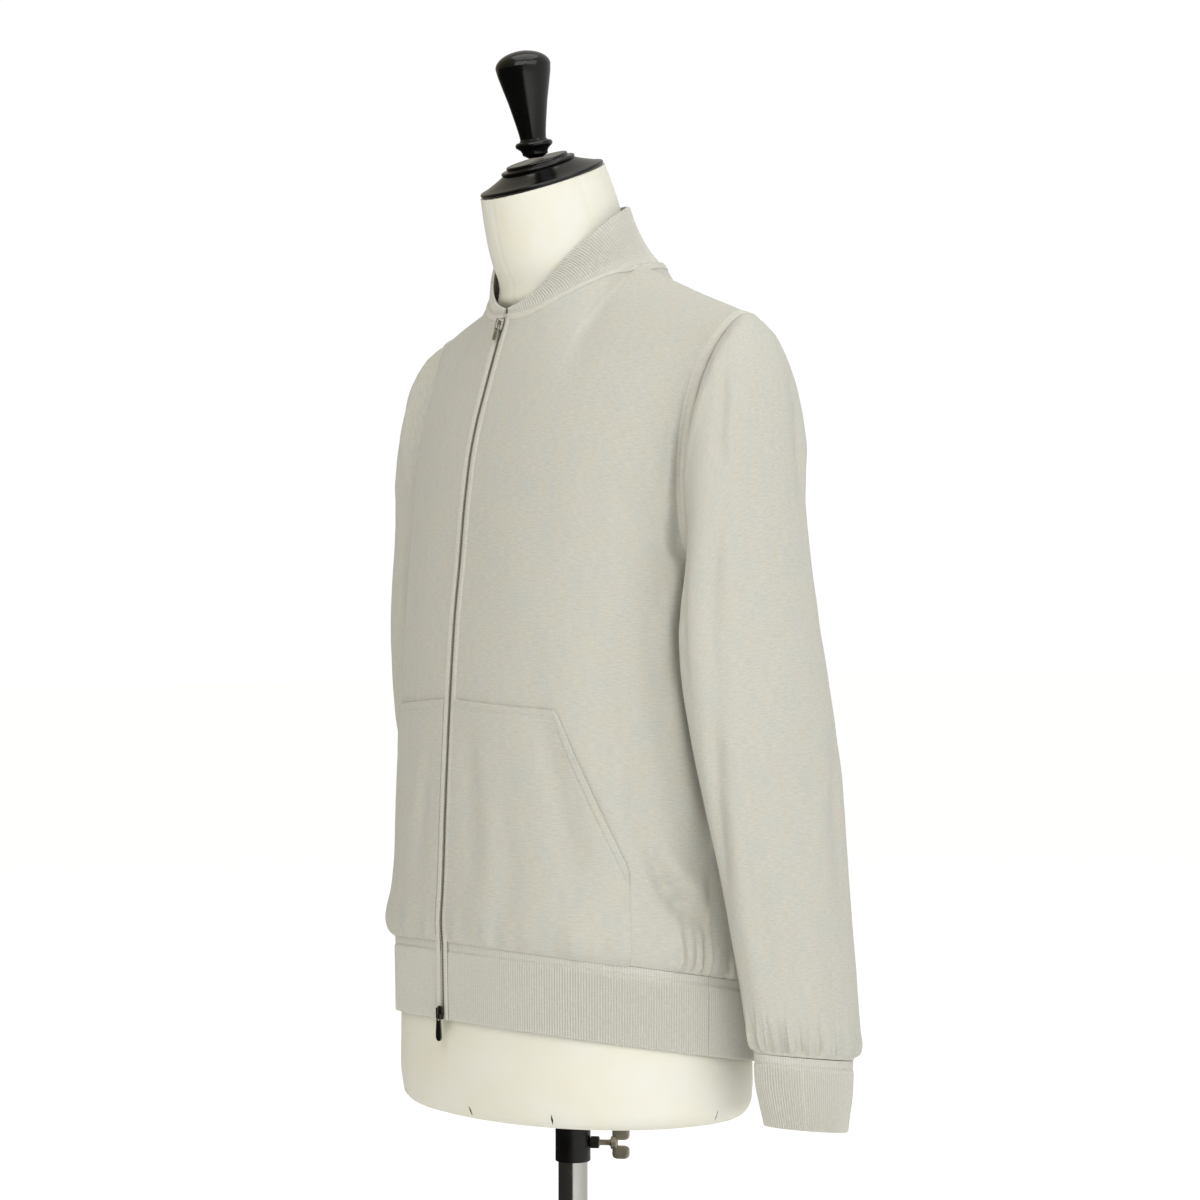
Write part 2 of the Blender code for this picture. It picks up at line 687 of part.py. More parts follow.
def hem_quarter(is_front):
    """Outer and inner rows of a quarter of the hem, from the zip or the back to the side."""
    turn = np.linspace(0, math.pi / 2, 160)
    if not is_front:
        turn = math.pi - turn
    outer, inner = [], []
    rise = np.append(ribs(HEM_RIBS), 0.0)
    for drop in (RIB_HEIGHT, SEAM / 2):
        row = start_at_zip(hem_edge(turn, drop), is_front)
        row = along(row, np.linspace(0, length_of(row), HEM_RIBS * 2 + 1))
        normal = unit(np.gradient(row, axis=0)[:, [1, 0, 2]] * np.array([1, -1, 0]))
        normal *= np.where((normal * row).sum(axis=1, keepdims=True) < 0, -1, 1)
        normal[0, 0] = 0.0
        normal[-1, 1] = 0.0
        normal = unit(normal)
        outer.append(row + normal * rise[:, None])
        inner.append((row - normal * RIB_WALL)[::RIBS_PER_INNER])
    return np.array(outer), np.array(inner)


def make_hem():
    """The ribbed hem: a piece on each front and one across the back, with side seams."""
    outer, inner = hem_quarter(True)
    outer, inner = drawn_in(outer, ("last",)), drawn_in(inner, ("last",))
    wall("hem_rib_left", outer, inner, RIB)
    wall("hem_rib_right", mirrored(outer)[:, ::-1], mirrored(inner)[:, ::-1], RIB)
    outer, inner = hem_quarter(False)
    outer, inner = drawn_in(outer, ("last",)), drawn_in(inner, ("last",))
    wall("hem_rib_back", both_halves(outer), both_halves(inner), RIB)


# The collar's height and how far its top leans in over the neck, by turn from the zip.
COLLAR = columns(
    "turn height lean_in",
    (0, 0.0030, 0.0000),
    (12, 0.0070, 0.0005),
    (30, 0.0160, 0.0015),
    (50, 0.0290, 0.0040),
    (75, 0.0410, 0.0100),
    (100, 0.0470, 0.0190),
    (130, 0.0480, 0.0320),
    (180, 0.0485, 0.0360),
)


def neck_places(front, back, steps):
    """The panels' neck edge from the zip to the middle of the back, and places along it.

    The places are even on each panel, and one of them is the shoulder seam's.
    """
    edge = np.concatenate([front[-1, : NECK_COLUMNS + 1], back[-1, :NECK_COLUMNS][::-1]])
    corner, total = length_of(edge[: NECK_COLUMNS + 1]), length_of(edge)
    on_front = round(steps * corner / total)
    at = np.linspace(0, corner, on_front + 1)
    return edge, np.append(at[:-1], np.linspace(corner, total, steps - on_front + 1))


def neck_edge(front, back, steps):
    """Points along the panels' neck edges, from the left of the zip round to its right.

    Gives the points, the level directions away from the neck, and the turns from the zip.
    """
    half = along(*neck_places(front, back, steps))
    line = np.concatenate([half, mirrored(half)[-2::-1]])
    away = unit((line - np.array([0.0, NECK_MID_Y, 0.0])) * np.array([1, 1, 0]))
    turn = np.degrees(np.arctan2(np.abs(line[:, 0]), NECK_MID_Y - line[:, 1]))
    return line, away, turn


def make_collar(front, back):
    """The ribbed stand collar, from one side of the zip round the neck to the other."""
    seam, away, turn = neck_edge(front, back, COLLAR_RIBS)
    away[[0, -1], 0] = 0.0
    away = unit(away)
    height = smooth(turn, COLLAR["turn"], COLLAR["height"])[:, None]
    lean = smooth(turn, COLLAR["turn"], COLLAR["lean_in"])[:, None]
    rise = np.append(ribs(COLLAR_RIBS), 0.0)[:, None]
    outer, inner = [], []
    for part in (0.0, 0.5, 1.0):
        base = seam - away * lean * part**0.65
        base = base + np.array([0, 0, 1]) * (height * part + (SEAM if part == 0 else 0))
        outer.append(base + away * rise * (0.4 if part == 0 else 1.0))
        inner.append((base - away * RIB_WALL)[::RIBS_PER_INNER])
    wall("collar", np.array(outer), np.array(inner), RIB)


def tape_over(name, grid, normals, material, lift=SEAM, thick=TAPE):
    """A thin strip or patch made from a panel's own points, moved out."""
    lift = np.reshape(lift, (-1, 1, 1)) if np.ndim(lift) else lift
    return wall(name, grid + normals * (lift + thick), grid + normals * lift, material)


def make_arm_bands(front, front_n, back, back_n):
    """A tape along each armhole seam, over the shoulder, ending where the sleeve covers it."""
    low = len(BLOUSE["rise"]) + 1
    strip = [front[low:, -2:], back[low:-1, -2:][::-1]]
    normal = [front_n[low:, -2:], back_n[low:-1, -2:][::-1]]
    grid, normals = np.concatenate(strip), np.concatenate(normal)
    grid = drawn_in(grid, ("low", "top"))
    grid[:, -1] += ARM_BAND_SET_IN * unit(grid[:, 0] - grid[:, -1])
    tape_over("armhole_band_left", grid, normals, TAPE_KNIT)
    tape_over("armhole_band_right", mirrored(grid), mirrored(normals), TAPE_KNIT)


def surface_tree(grids):
    """A search tree over the outer faces of some panels."""
    points, faces = [], []
    for grid in grids:
        start = len(points)
        rows, count = grid.shape[:2]
        points += [Vector(p) for p in grid.reshape(-1, 3)]
        for i in range(rows - 1):
            for j in range(count - 1):
                a = start + i * count + j
                faces += [(a, a + 1, a + count + 1), (a, a + count + 1, a + count)]
    return BVHTree.FromPolygons(points, faces)


def neck_falls(front, back, steps):
    """Directions in which the panels fall from the neck edge, at its places.

    On the shoulder seam, where the panels meet, that is the seam's own direction.
    """
    fall = [unit(grid[-2] - grid[-1])[: NECK_COLUMNS + 1] for grid in (front, back)]
    corner = unit(front[-1, NECK_COLUMNS + 1] - front[-1, NECK_COLUMNS])
    ways = np.concatenate([fall[0][:-1], corner[None], fall[1][:-1][::-1]])
    edge, at = neck_places(front, back, steps)
    run = np.append(0.0, np.cumsum(np.linalg.norm(np.diff(edge, axis=0), axis=1)))
    half = unit(np.stack([np.interp(at, run, ways[:, k]) for k in range(3)], axis=1))
    return np.concatenate([half, mirrored(half)[-2::-1]])


def make_neck_band(front, back):
    """A tape below the collar seam, laid on the fronts and the back.

    Each of its rows lies a distance down the cloth from the seam. Its normals are those
    of the cloth below it, evened out where the two panels meet on the shoulder, and it
    stands higher there.
    """
    tree = surface_tree([front, mirrored(front), back, mirrored(back)])
    line, away, turn = neck_edge(front, back, NECK_BAND_STEPS)
    fall = neck_falls(front, back, NECK_BAND_STEPS)
    rows = []
    for reach in (NECK_BAND_WIDTH, (NECK_BAND_WIDTH + NECK_BAND_UPPER) / 2, NECK_BAND_UPPER):
        found = [tree.find_nearest(Vector(p)) for p in line + fall * reach]
        rows.append(np.array([f[0] for f in found]))
    grid = np.array(rows)
    normals = normals_of(grid)
    normals *= np.where((normals * away).sum(axis=-1, keepdims=True) < 0, -1, 1)
    middle = normals[1]
    for _ in range(2):
        middle[1:-1] = unit(middle[:-2] + 2 * middle[1:-1] + middle[2:])
    middle[[0, -1], 0] = 0.0
    grid[:, 0, 0] = ZIP_HALF + PLACKET_WIDTH + 3 * SEAM
    grid[:, -1, 0] = -grid[:, 0, 0]
    normals = np.array([unit(middle)] * len(grid))
    ridge = np.exp(-(((turn - NECK_POINT_TURN) / SEAM_REACH) ** 2))
    grid += normals * (NECK_BAND_LIFT * ridge)[:, None]
    tape_over("neck_band", grid, normals, TAPE_KNIT, lift=NECK_BAND_LIFT)


def make_plackets(front, front_n):
    """A narrow plain strip on each side of the zip, from the hem to the neckline."""
    hem = hem_quarter(True)[0]
    hem = np.stack([hem[0, 0], hem[1, 0]])
    strip, normal = front[:, :2], front_n[:, :2]
    beside = hem + np.array([PLACKET_WIDTH, 0, 0])
    low = np.stack([hem, beside], axis=1)
    grid = np.concatenate([low, strip])
    normals = np.concatenate([np.tile([0.0, -1.0, 0.0], (2, 2, 1)), normal])
    lift = np.full(len(grid), SEAM)
    lift[:2] = RIB_RISE + SEAM
    lift[2] = RIB_RISE
    tape_over("placket_left", grid, normals, TAPE_KNIT, lift=lift)
    tape_over("placket_right", mirrored(grid), mirrored(normals), TAPE_KNIT, lift=lift)
    return grid


# The pocket's upper edge: how far out from the placket, and its height above the form.
POCKET_TOP = columns(
    "reach height",
    (0.000, 0.3480),
    (0.106, 0.3410),
    (0.110, 0.3360),
    (0.168, 0.2110),
)
POCKET_ROWS = 7


def make_pockets(front, front_n):
    """Patch pockets with a slanted opening, made from the panel's columns, moved out."""
    run = np.concatenate([[0.0], np.cumsum(np.linalg.norm(np.diff(front[5], axis=0), axis=1))])
    reach = run - run[1]
    end = POCKET_TOP["reach"][-1]
    stops = sorted({*POCKET_TOP["reach"][1:], *reach[(reach >= 0) & (reach < end - 0.003)]})
    level = np.linspace(0, 1, POCKET_ROWS) ** 1.3
    upright = len(BLOUSE["rise"])
    grid, normals = [], []
    for stop in stops:
        at = np.interp(stop, reach, np.arange(len(reach)))
        j = min(int(at), len(reach) - 2)
        share = at - j
        line = front[:upright, j] * (1 - share) + front[:upright, j + 1] * share
        way = front_n[:upright, j] * (1 - share) + front_n[:upright, j + 1] * share
        top = np.interp(stop, POCKET_TOP["reach"], POCKET_TOP["height"])
        height = line[0, 2] + (top - line[0, 2]) * level
        height[1:4] = line[1:4, 2]
        grid.append(np.stack([np.interp(height, line[:, 2], line[:, k]) for k in range(3)], 1))
        normals.append(np.stack([np.interp(height, line[:, 2], way[:, k]) for k in range(3)], 1))
    grid, normals = np.stack(grid, axis=1), np.stack(normals, axis=1)
    grid[:, 0, 0] += SEAM
    normals[0, :, 2] = 0.0
    normals = unit(normals)
    tape_over("pocket_left", grid, normals, KNIT, POCKET_LIFT, POCKET_THICK)
    tape_over("pocket_right", mirrored(grid), mirrored(normals), KNIT, POCKET_LIFT, POCKET_THICK)


# ---------------------------------------------------------------- zip
def front_line(front):
    """The fronts' middle edge from the foot of the hem to the neckline."""
    hem = hem_quarter(True)[0]
    line = np.concatenate([hem[:, 0], front[:, 0]])
    line[:, 0] = 0.0
    return line


def make_zip_chain(line):
    """The row of teeth, a slim strip in the slot between the fronts."""
    half = ZIP_HALF - SEAM
    step = unit(np.gradient(line, axis=0))
    out = unit(np.cross(np.array([1.0, 0.0, 0.0]), step))
    grid = np.stack([line - [half, 0, 0], line + [half, 0, 0]], axis=1)
    normals = np.stack([out, out], axis=1)
    wall("zip_chain", grid + normals * ZIP_OUT, grid - normals * ZIP_IN, ZIP_TAPE)


def box(size, place, turn_x=0.0, bevel=0.0):
    """A box of this size as a mesh, turned about X, set in place, its edges bevelled."""
    build = bmesh.new()
    bmesh.ops.create_cube(build, size=1.0)
    bmesh.ops.scale(build, vec=size, verts=build.verts)
    if bevel:
        bmesh.ops.bevel(build, geom=build.edges, offset=bevel, segments=2, affect="EDGES")
    cos, sin = math.cos(turn_x), math.sin(turn_x)
    for vert in build.verts:
        x, y, z = vert.co
        vert.co = (x + place[0], y * cos - z * sin + place[1], y * sin + z * cos + place[2])
    mesh = bpy.data.meshes.new("box")
    build.to_mesh(mesh)
    build.free()
    return mesh


def add_mesh(name, mesh, material, parent=None):
    """An object for the mesh; with a parent empty, its place is kept under it."""
    mesh.materials.clear()
    mesh.materials.append(material)
    mesh.shade_smooth()
    mesh.set_sharp_from_angle(angle=math.radians(40))
    item = bpy.data.objects.new(name, mesh)
    COLLECTION.objects.link(item)
    if parent:
        mesh.transform(parent.matrix_world.inverted())
        item.parent = parent
    return item


def joint_empty(name, place):
    empty = bpy.data.objects.new(name, None)
    empty.location = place
    empty.empty_display_size = 0.02
    COLLECTION.objects.link(empty)
    bpy.context.view_layer.update()
    return empty


def flat_outline(outline, hole, thick):
    """A flat plate in the XZ plane with a hole, as a mesh: a filled 2D curve, extruded."""
    curve = bpy.data.curves.new("outline", "CURVE")
    curve.dimensions = "2D"
    curve.fill_mode = "BOTH"
    curve.extrude = thick / 2
    for ring in (outline, hole):
        spline = curve.splines.new("POLY")
        spline.points.add(len(ring) - 1)
        for point, (x, z) in zip(spline.points, ring):
            point.co = (x, z, 0, 1)
        spline.use_cyclic_u = True
    item = bpy.data.objects.new("outline", curve)
    COLLECTION.objects.link(item)
    bpy.context.view_layer.update()
    graph = bpy.context.evaluated_depsgraph_get()
    mesh = bpy.data.meshes.new_from_object(item.evaluated_get(graph))
    bpy.data.objects.remove(item)
    build = bmesh.new()
    build.from_mesh(mesh)
    bmesh.ops.remove_doubles(build, verts=build.verts, dist=0.00001)
    for vert in build.verts:
        x, z, y = vert.co
        vert.co = (x, -y, z)
    bmesh.ops.recalc_face_normals(build, faces=build.faces)
    build.to_mesh(mesh)
    build.free()
    return mesh


def make_slider(name, place, slope):
    """A slider plate on the teeth with its bridge, and the point its pull hangs from."""
    body = add_mesh(name, box(SLIDER, (0, 0, 0), bevel=0.0007), METAL)
    front = -SLIDER[1] / 2
    bar, leg_high = BRIDGE_BAR, (BRIDGE_BAR[2] - BRIDGE_LEG) / 2 - 0.0001
    leg_size = (bar[0] - 0.0001, BRIDGE_GAP, BRIDGE_LEG)
    legs = [box(bar, (0, front - BRIDGE_GAP + bar[1] / 2, 0), bevel=0.0003)]
    for way in (1, -1):
        legs.append(box(leg_size, (0, front - BRIDGE_GAP / 2 + SEAM, way * leg_high)))
    cutters = []
    for k, leg in enumerate(legs):
        part = bpy.data.objects.new(f"{name}_bridge_{k}", leg)
        part.hide_render = True
        part.display_type = "WIRE"
        CUTTERS.objects.link(part)
        joined = body.modifiers.new(f"bridge {k}", "BOOLEAN")
        joined.operation = "UNION"
        joined.object = part
        cutters.append(part)
    for item in [body, *cutters]:
        item.location = place
        item.rotation_euler = (slope, 0, 0)
    bpy.context.view_layer.update()
    room = BRIDGE_GAP - bar[1]
    return body.matrix_world @ Vector((0, front - room / 2, PULL_EYE))


def slot_ring(half_width, height):
    """The outline of a pull's eye, below its bar."""
    low, high = -PULL_BAR / 2 - height, -PULL_BAR / 2
    return [(-half_width, high), (half_width, high), (half_width, low), (-half_width, low)]


def make_top_pull(pivot, slope):
    """A small round-ended tab whose eye is held behind the bridge of the upper slider."""
    half, low = TOP_PULL_HALF, PULL_BAR / 2 - TOP_PULL_LENGTH + TOP_PULL_HALF
    turns = np.linspace(0, -math.pi, 9)
    end = [(half * math.cos(a), low + half * math.sin(a)) for a in turns]
    outline = [(half, PULL_BAR / 2), *end, (-half, PULL_BAR / 2)]
    mesh = flat_outline(outline, slot_ring(0.0015, 0.0042), TOP_PULL_THICK)
    hang_pull("zip_pull_top", mesh, pivot, slope)


def make_bottom_pull(pivot, slope):
    """A polished drop, narrow at its eye and round at its foot, on the lower slider."""
    half, neck, top = DROP_HALF, DROP_NECK, PULL_BAR / 2
    straight = DROP_LENGTH - half
    side = []
    for share in np.linspace(0, 1, 9):
        width = neck + (half - neck) * math.sin(share * math.pi / 2) ** 2
        side.append((width, -share * straight))
    turns = np.linspace(0, -math.pi, 9)[1:-1]
    foot = [(half * math.cos(a), -straight + half * math.sin(a)) for a in turns]
    other = [(-x, z) for x, z in side[::-1]]
    outline = [(neck, top), *side, *foot, *other, (-neck, top)]
    mesh = flat_outline(outline, slot_ring(0.0014, 0.0040), DROP_THICK)
    hang_pull("zip_pull_bottom", mesh, pivot, slope)


def hang_pull(name, mesh, pivot, slope):
    """Hangs a pull from its axis, lying along the zip."""
    empty = joint_empty(name + "_axis", pivot)
    mesh.transform(Matrix.Translation(pivot) @ Matrix.Rotation(slope, 4, "X"))
    add_mesh(name, mesh, METAL, empty)


def make_zip(front):
    """The teeth with a slider near each end, lying just in front of the plackets."""
    line = front_line(front)
    make_zip_chain(line)
    ends = (("top", SLIDER_TOP_H, 0.0, make_top_pull),
            ("bottom", SLIDER_BOTTOM_H, RIB_RISE, make_bottom_pull))
    for end, height, raised, maker in ends:
        y = float(np.interp(height, line[:, 2], line[:, 1]))
        ahead = float(np.interp(height + 0.01, line[:, 2], line[:, 1]))
        slope = -math.atan2(ahead - y, 0.01)
        stand = (raised + TAPE + 3 * SEAM + SLIDER[1] / 2) / math.cos(slope)
        place = Vector((0, y - stand, height + FORM_Z))
        maker(make_slider("zip_slider_" + end, place, slope), slope)


# ---------------------------------------------------------------- dress form and stand
def oval_ring(half_width, front, back, height, lean, sides):
    """A ring of the form, a little squarer than an ellipse at the hips, round at the neck."""
    turn = np.linspace(0, 2 * math.pi, sides, endpoint=False)
    square = FORM_SQUARE if half_width > 0.1 else 1.0
    x = half_width * np.sign(np.sin(turn)) * np.abs(np.sin(turn)) ** square
    middle = (front + back) / 2
    depth = (back - front) / 2
    y = middle - depth * np.sign(np.cos(turn)) * np.abs(np.cos(turn)) ** square
    z = height + math.tan(math.radians(lean)) * (y - middle)
    return np.stack([x, y, z], axis=1)


def make_form():
    """The padded torso: rings from the pole's bore round the foot and up to the cap."""
    table = FORM
    rings = []
    for height in (BORE_DEPTH, 0.0):
        ring = oval_ring(BORE_RADIUS, -BORE_RADIUS, BORE_RADIUS, height, 0, FORM_SIDES)
        rings.append(ring)
    for k in range(len(table["height"])):
        values = [table[name][k] for name in ("half_width", "front", "back", "height", "lean")]
        rings.append(oval_ring(*values, FORM_SIDES))
    grid = np.array(rings) + np.array([0, 0, FORM_Z])
    points = grid.reshape(-1, 3)
    count = FORM_SIDES
    faces = [tuple(range(count)), tuple(range(len(points) - count, len(points)))]
    for i in range(len(grid) - 1):
        for j in range(count):
            a, b = i * count + j, i * count + (j + 1) % count
            faces.append((a, b, b + count, a + count))
    object_from("form_torso", points, faces, CANVAS)


def turned(name, profile, material, place, lean, steps):
    """A turned piece: its profile, from its top down its outer side, on a Screw modifier."""
    mesh = bpy.data.meshes.new(name)
    edges = [(k, k + 1) for k in range(len(profile) - 1)]
    mesh.from_pydata([(r, 0, z) for r, z in profile], edges, [])
    mesh.materials.append(material)
    item = bpy.data.objects.new(name, mesh)
    COLLECTION.objects.link(item)
    item.location = place
    item.rotation_euler = (math.radians(lean), 0, 0)
    spin = item.modifiers.new("turn", "SCREW")
    spin.steps = spin.render_steps = steps
    spin.use_merge_vertices = True
    spin.merge_threshold = 0.0001
    spin.use_smooth_shade = True
    return item


def make_cap_and_knob():
    """The lacquered neck cap, a low cone with two steps, and the tapered knob on it."""
    middle_y, seat = (-0.0845 + 0.0205) / 2, 0.784 + FORM_Z
    lean = math.radians(CAP_LEAN)
    up = Vector((0, -math.sin(lean), math.cos(lean)))
    foot = Vector((0, middle_y, seat)) + up * SEAM
    cap = [
        (0.0, CAP_HEIGHT), (0.0262, CAP_HEIGHT), (0.0270, 0.0182), (0.0270, 0.0158),
        (0.0320, 0.0152), (0.0325, 0.0140), (0.0322, 0.0124), (0.0420, 0.0075),
        (0.0520, 0.0036), (0.0540, 0.0022), (0.0536, 0.0006), (0.0525, 0.0), (0.0, 0.0),
    ]
    turned("neck_cap", cap, LACQUER, foot, CAP_LEAN, 22)
    knob = [(0.0, 0.0905)]
    for a in np.radians(np.linspace(70, 0, 5)):
        knob.append((0.0234 * math.cos(a), 0.0770 + 0.0132 * math.sin(a)))
    knob += [
        (0.0226, 0.0725), (0.0165, 0.0470), (0.0130, 0.0290), (0.0110, 0.0160),
        (0.0150, 0.0128), (0.0160, 0.0098), (0.0148, 0.0064), (0.0116, 0.0044),
        (0.0110, 0.0022), (KNOB_FOOT, 0.0), (0.0, 0.0),
    ]
    turned("neck_knob", knob, LACQUER, foot + up * (CAP_HEIGHT + KNOB_SEAT), KNOB_LEAN, 18)


def ring_tube(name, inner, outer, low, high, material, steps):
    profile = [(inner, high), (outer - 0.001, high), (outer, high - 0.001),
               (outer, low + 0.001), (outer - 0.001, low), (inner, low), (inner, high)]
    return turned(name, profile, material, (0, 0, 0), 0, steps)


def make_clamp():
    """The clamp collar under the form, its threaded boss, and the wing screw in it."""
    top = FORM_Z - SEAM
    ring_tube("clamp_collar", BORE_RADIUS, CLAMP_RADIUS, top - CLAMP_LENGTH, top, LACQUER, 18)
    turn = math.radians(SCREW_TURN)
    way = Vector((math.cos(turn), math.sin(turn), 0))
    height = FORM_Z - SCREW_DROP
    axis = joint_empty("wing_screw_axis", way * CLAMP_RADIUS + Vector((0, 0, height)))
    axis.rotation_euler = (0, math.radians(90), turn)
    bpy.context.view_layer.update()
    boss = [(0.0046, 0.0075), (0.0052, 0.0069), (0.0052, 0.0006), (0.0030, 0.0006),
            (0.0030, 0.0075), (0.0046, 0.0075)]
    item = turned("clamp_boss", boss, LACQUER, (0, 0, 0), 0, 12)
    item.matrix_world = axis.matrix_world
    screw = [(0.0, 0.0232), (0.0050, 0.0232), (0.0056, 0.0226), (0.0056, 0.0182),
             (0.0050, 0.0176), (0.0027, 0.0170), (0.0027, 0.0010), (0.0, 0.0010)]
    shaft = turned("wing_screw", screw, METAL, (0, 0, 0), 0, 12)
    shaft.parent = axis
    for side in (-1, 1):
        wing = box(WING, (side * WING_PLACE[0], *WING_PLACE[1:]), bevel=0.0011)
        part = bpy.data.objects.new(f"wing_{side + 1}", wing)
        part.hide_render = True
        part.display_type = "WIRE"
        part.parent = axis
        CUTTERS.objects.link(part)
        joined = shaft.modifiers.new(f"wing {side}", "BOOLEAN")
        joined.operation = "UNION"
        joined.object = part


def make_stand():
    """The chrome pole and its flat round base."""
    top, thick, hub = FORM_Z + POLE_IN_FORM, BASE_THICK, BASE_THICK + HUB_HEIGHT
    pole = [(0.0, top), (POLE_RADIUS - 0.001, top), (POLE_RADIUS, top - 0.001),
            (POLE_RADIUS, hub + SEAM), (0.0, hub + SEAM)]
    turned("pole_tube", pole, CHROME, (0, 0, 0), 0, 20)
    rim = BASE_RADIUS
    base = [(0.0, hub), (0.0170, hub), (0.0185, hub - 0.0017), (0.0200, thick + 0.0060),
            (0.0260, thick + 0.0022), (rim - 0.006, thick), (rim - 0.001, thick - 0.003),
            (rim, thick - 0.006), (rim, 0.001), (rim - 0.001, 0.0), (0.0, 0.0)]
    turned("pole_base", base, LACQUER, (0, 0, 0), 0, 28)


# ---------------------------------------------------------------- the whole part
def clear_scene():
    for item in list(bpy.data.objects):
        bpy.data.objects.remove(item, do_unlink=True)


def new_collection(name):
    found = bpy.data.collections.new(name)
    bpy.context.scene.collection.children.link(found)
    return found


def main():
    front, front_n, back, back_n = make_body()
    for side, flip in (("left", False), ("right", True)):
        make_sleeve(side, flip)
        make_cuff(side, flip)
    make_hem()
    make_collar(front, back)
    make_neck_band(front, back)
    make_arm_bands(front, front_n, back, back_n)
    make_plackets(front, front_n)
    make_pockets(front, front_n)
    make_zip(front)
    make_form()
    make_cap_and_knob()
    make_clamp()
    make_stand()


clear_scene()
COLLECTION = new_collection("knit bomber jacket on a dress form")
CUTTERS = new_collection("cutters")
KNIT = principled("stone_knit", (0.58, 0.56, 0.50), 0.9)
RIB = principled("stone_rib", (0.55, 0.53, 0.47), 0.9)
TAPE_KNIT = principled("pale_tape", (0.64, 0.62, 0.56), 0.9)
ZIP_TAPE = principled("zip_teeth", (0.10, 0.10, 0.10), 0.4, 0.8)
METAL = principled("bright_metal", (0.70, 0.70, 0.70), 0.25, 1.0)
CANVAS = principled("cream_canvas", (0.84, 0.82, 0.74), 0.8)
LACQUER = principled("black_lacquer", (0.012, 0.012, 0.012), 0.15)
CHROME = principled("chrome", (0.75, 0.75, 0.75), 0.08, 1.0)
main()
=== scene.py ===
"""Looks of a knit bomber jacket on a limbless dress form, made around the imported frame.

Metres, +Z up, the zip faces -Y and the wearer's left is +X. Heights in the tables are
above the dress form's underside. The cloth's surfaces come from the same named sizes
and tables as the solids, at a finer grid, with creases, ribs and stitches added.
"""

import math

import bpy
import numpy as np
from mathutils import Matrix, Vector
from mathutils.bvhtree import BVHTree


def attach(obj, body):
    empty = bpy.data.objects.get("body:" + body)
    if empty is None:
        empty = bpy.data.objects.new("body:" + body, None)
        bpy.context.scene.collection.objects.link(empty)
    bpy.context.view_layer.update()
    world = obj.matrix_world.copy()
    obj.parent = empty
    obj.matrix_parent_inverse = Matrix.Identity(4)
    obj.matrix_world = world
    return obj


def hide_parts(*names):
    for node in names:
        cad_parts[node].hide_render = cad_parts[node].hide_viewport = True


bl_info = {
    "name": "Knit bomber jacket",
    "version": (1, 0, 0),
    "blender": (4, 5, 0),
    "location": "View3D > Sidebar > Jacket",
    "description": "Builds a rib-trimmed knit bomber jacket on a dress form",
    "category": "Object",
}

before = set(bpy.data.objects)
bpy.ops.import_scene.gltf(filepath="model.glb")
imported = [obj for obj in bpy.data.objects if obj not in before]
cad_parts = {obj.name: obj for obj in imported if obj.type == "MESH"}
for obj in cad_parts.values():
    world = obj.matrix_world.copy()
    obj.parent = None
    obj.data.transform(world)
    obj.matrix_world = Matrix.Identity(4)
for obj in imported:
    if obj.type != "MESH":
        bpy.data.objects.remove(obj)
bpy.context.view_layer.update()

# -------- sizes shared with the solids
FORM_Z = 0.460  # underside of the dress form above the floor
FORM_FOOT = np.array([0.0, 0.0, FORM_Z])
FORM_GIRTH = 0.88  # cloth round the form, for its weave
SEAM = 0.0003  # gap kept between neighbouring pieces
ZIP_HALF = 0.0025  # half of the slot that the zip's teeth fill
PLACKET_WIDTH = 0.0055
NECK_BAND_WIDTH = 0.0075
ARM_BAND_WIDTH = 0.0095
HEM_FRONT = 0.0825  # lower edge of the hem at the front, above the form's underside
HEM_SLOPE = 0.167  # the hem falls towards the back, from this place at the zip
HEM_FRONT_Y = -0.134
BLOUSE_TOP = 0.06  # above the hem seam, where the body's fullness ends
RIB_HEIGHT = 0.0650
SIDE_Y = 0.008  # the side seam and the middle of every section
ARMPIT_H, CHEST_H, SHOULDER_H = 0.455, 0.580, 0.661
SHOULDER_X, SHOULDER_Y = 0.2115, 0.018
ARM_FRONT_DEPTH, ARM_BACK_DEPTH = 0.030, 0.056
ARM_SPREAD = 0.013  # how much further out the armhole lies at its top than at the armpit
CHEST_TURN = 100.0  # place round the armhole, in degrees from its top, of the chest row
FRONT_COLUMNS = 13  # panel columns from the zip to the side, the first and last narrow
NECK_COLUMNS = 6  # of them, those that end on the neckline
ARM_ROWS_LOW = 4  # rows from the armpit to the chest row
UPPER_STEPS = (0.0, 0.20, 0.38, 0.55, 0.70, 0.83, 0.925, 1.0)
BODY_SQUARE, CHEST_SQUARE = 0.91, 0.94  # powers of the ovals: 1 is an ellipse
POLE_RADIUS = 0.0125
BORE_RADIUS = 0.0129
CAP_LEAN = 20.0  # degrees that the neck cap tips forward
KNOB_LEAN = 10.0  # the knob stands more upright than the cap
KNOB_FOOT = 0.0060
KNOB_SEAT = SEAM + KNOB_FOOT * math.sin(math.radians(CAP_LEAN - KNOB_LEAN))
CAP_HEIGHT = 0.0190
CLAMP_LENGTH, CLAMP_RADIUS = 0.047, 0.0150
SCREW_DROP = 0.0310  # the wing screw's axis below the form
SCREW_TURN = 45.0  # direction in which the screw points, from +X towards the back
BASE_RADIUS, BASE_THICK = 0.170, 0.012
HUB_HEIGHT = 0.0222  # the base's hub round the pole's foot
POLE_IN_FORM = 0.310  # how far the pole reaches up inside the form
ARM_BAND_SET_IN = 0.0012  # the tape's edge stays this far from the armhole seam
NECK_BAND_UPPER = 0.0014  # the band's upper edge stays this far from the collar seam
WING = (0.0115, 0.0026, 0.0150)
WING_PLACE = (0.0080, 0.0, 0.0262)
BORE_DEPTH = 0.330
TACK_HEIGHTS = (0.004, 0.013)  # ends of a tack above the form's underside

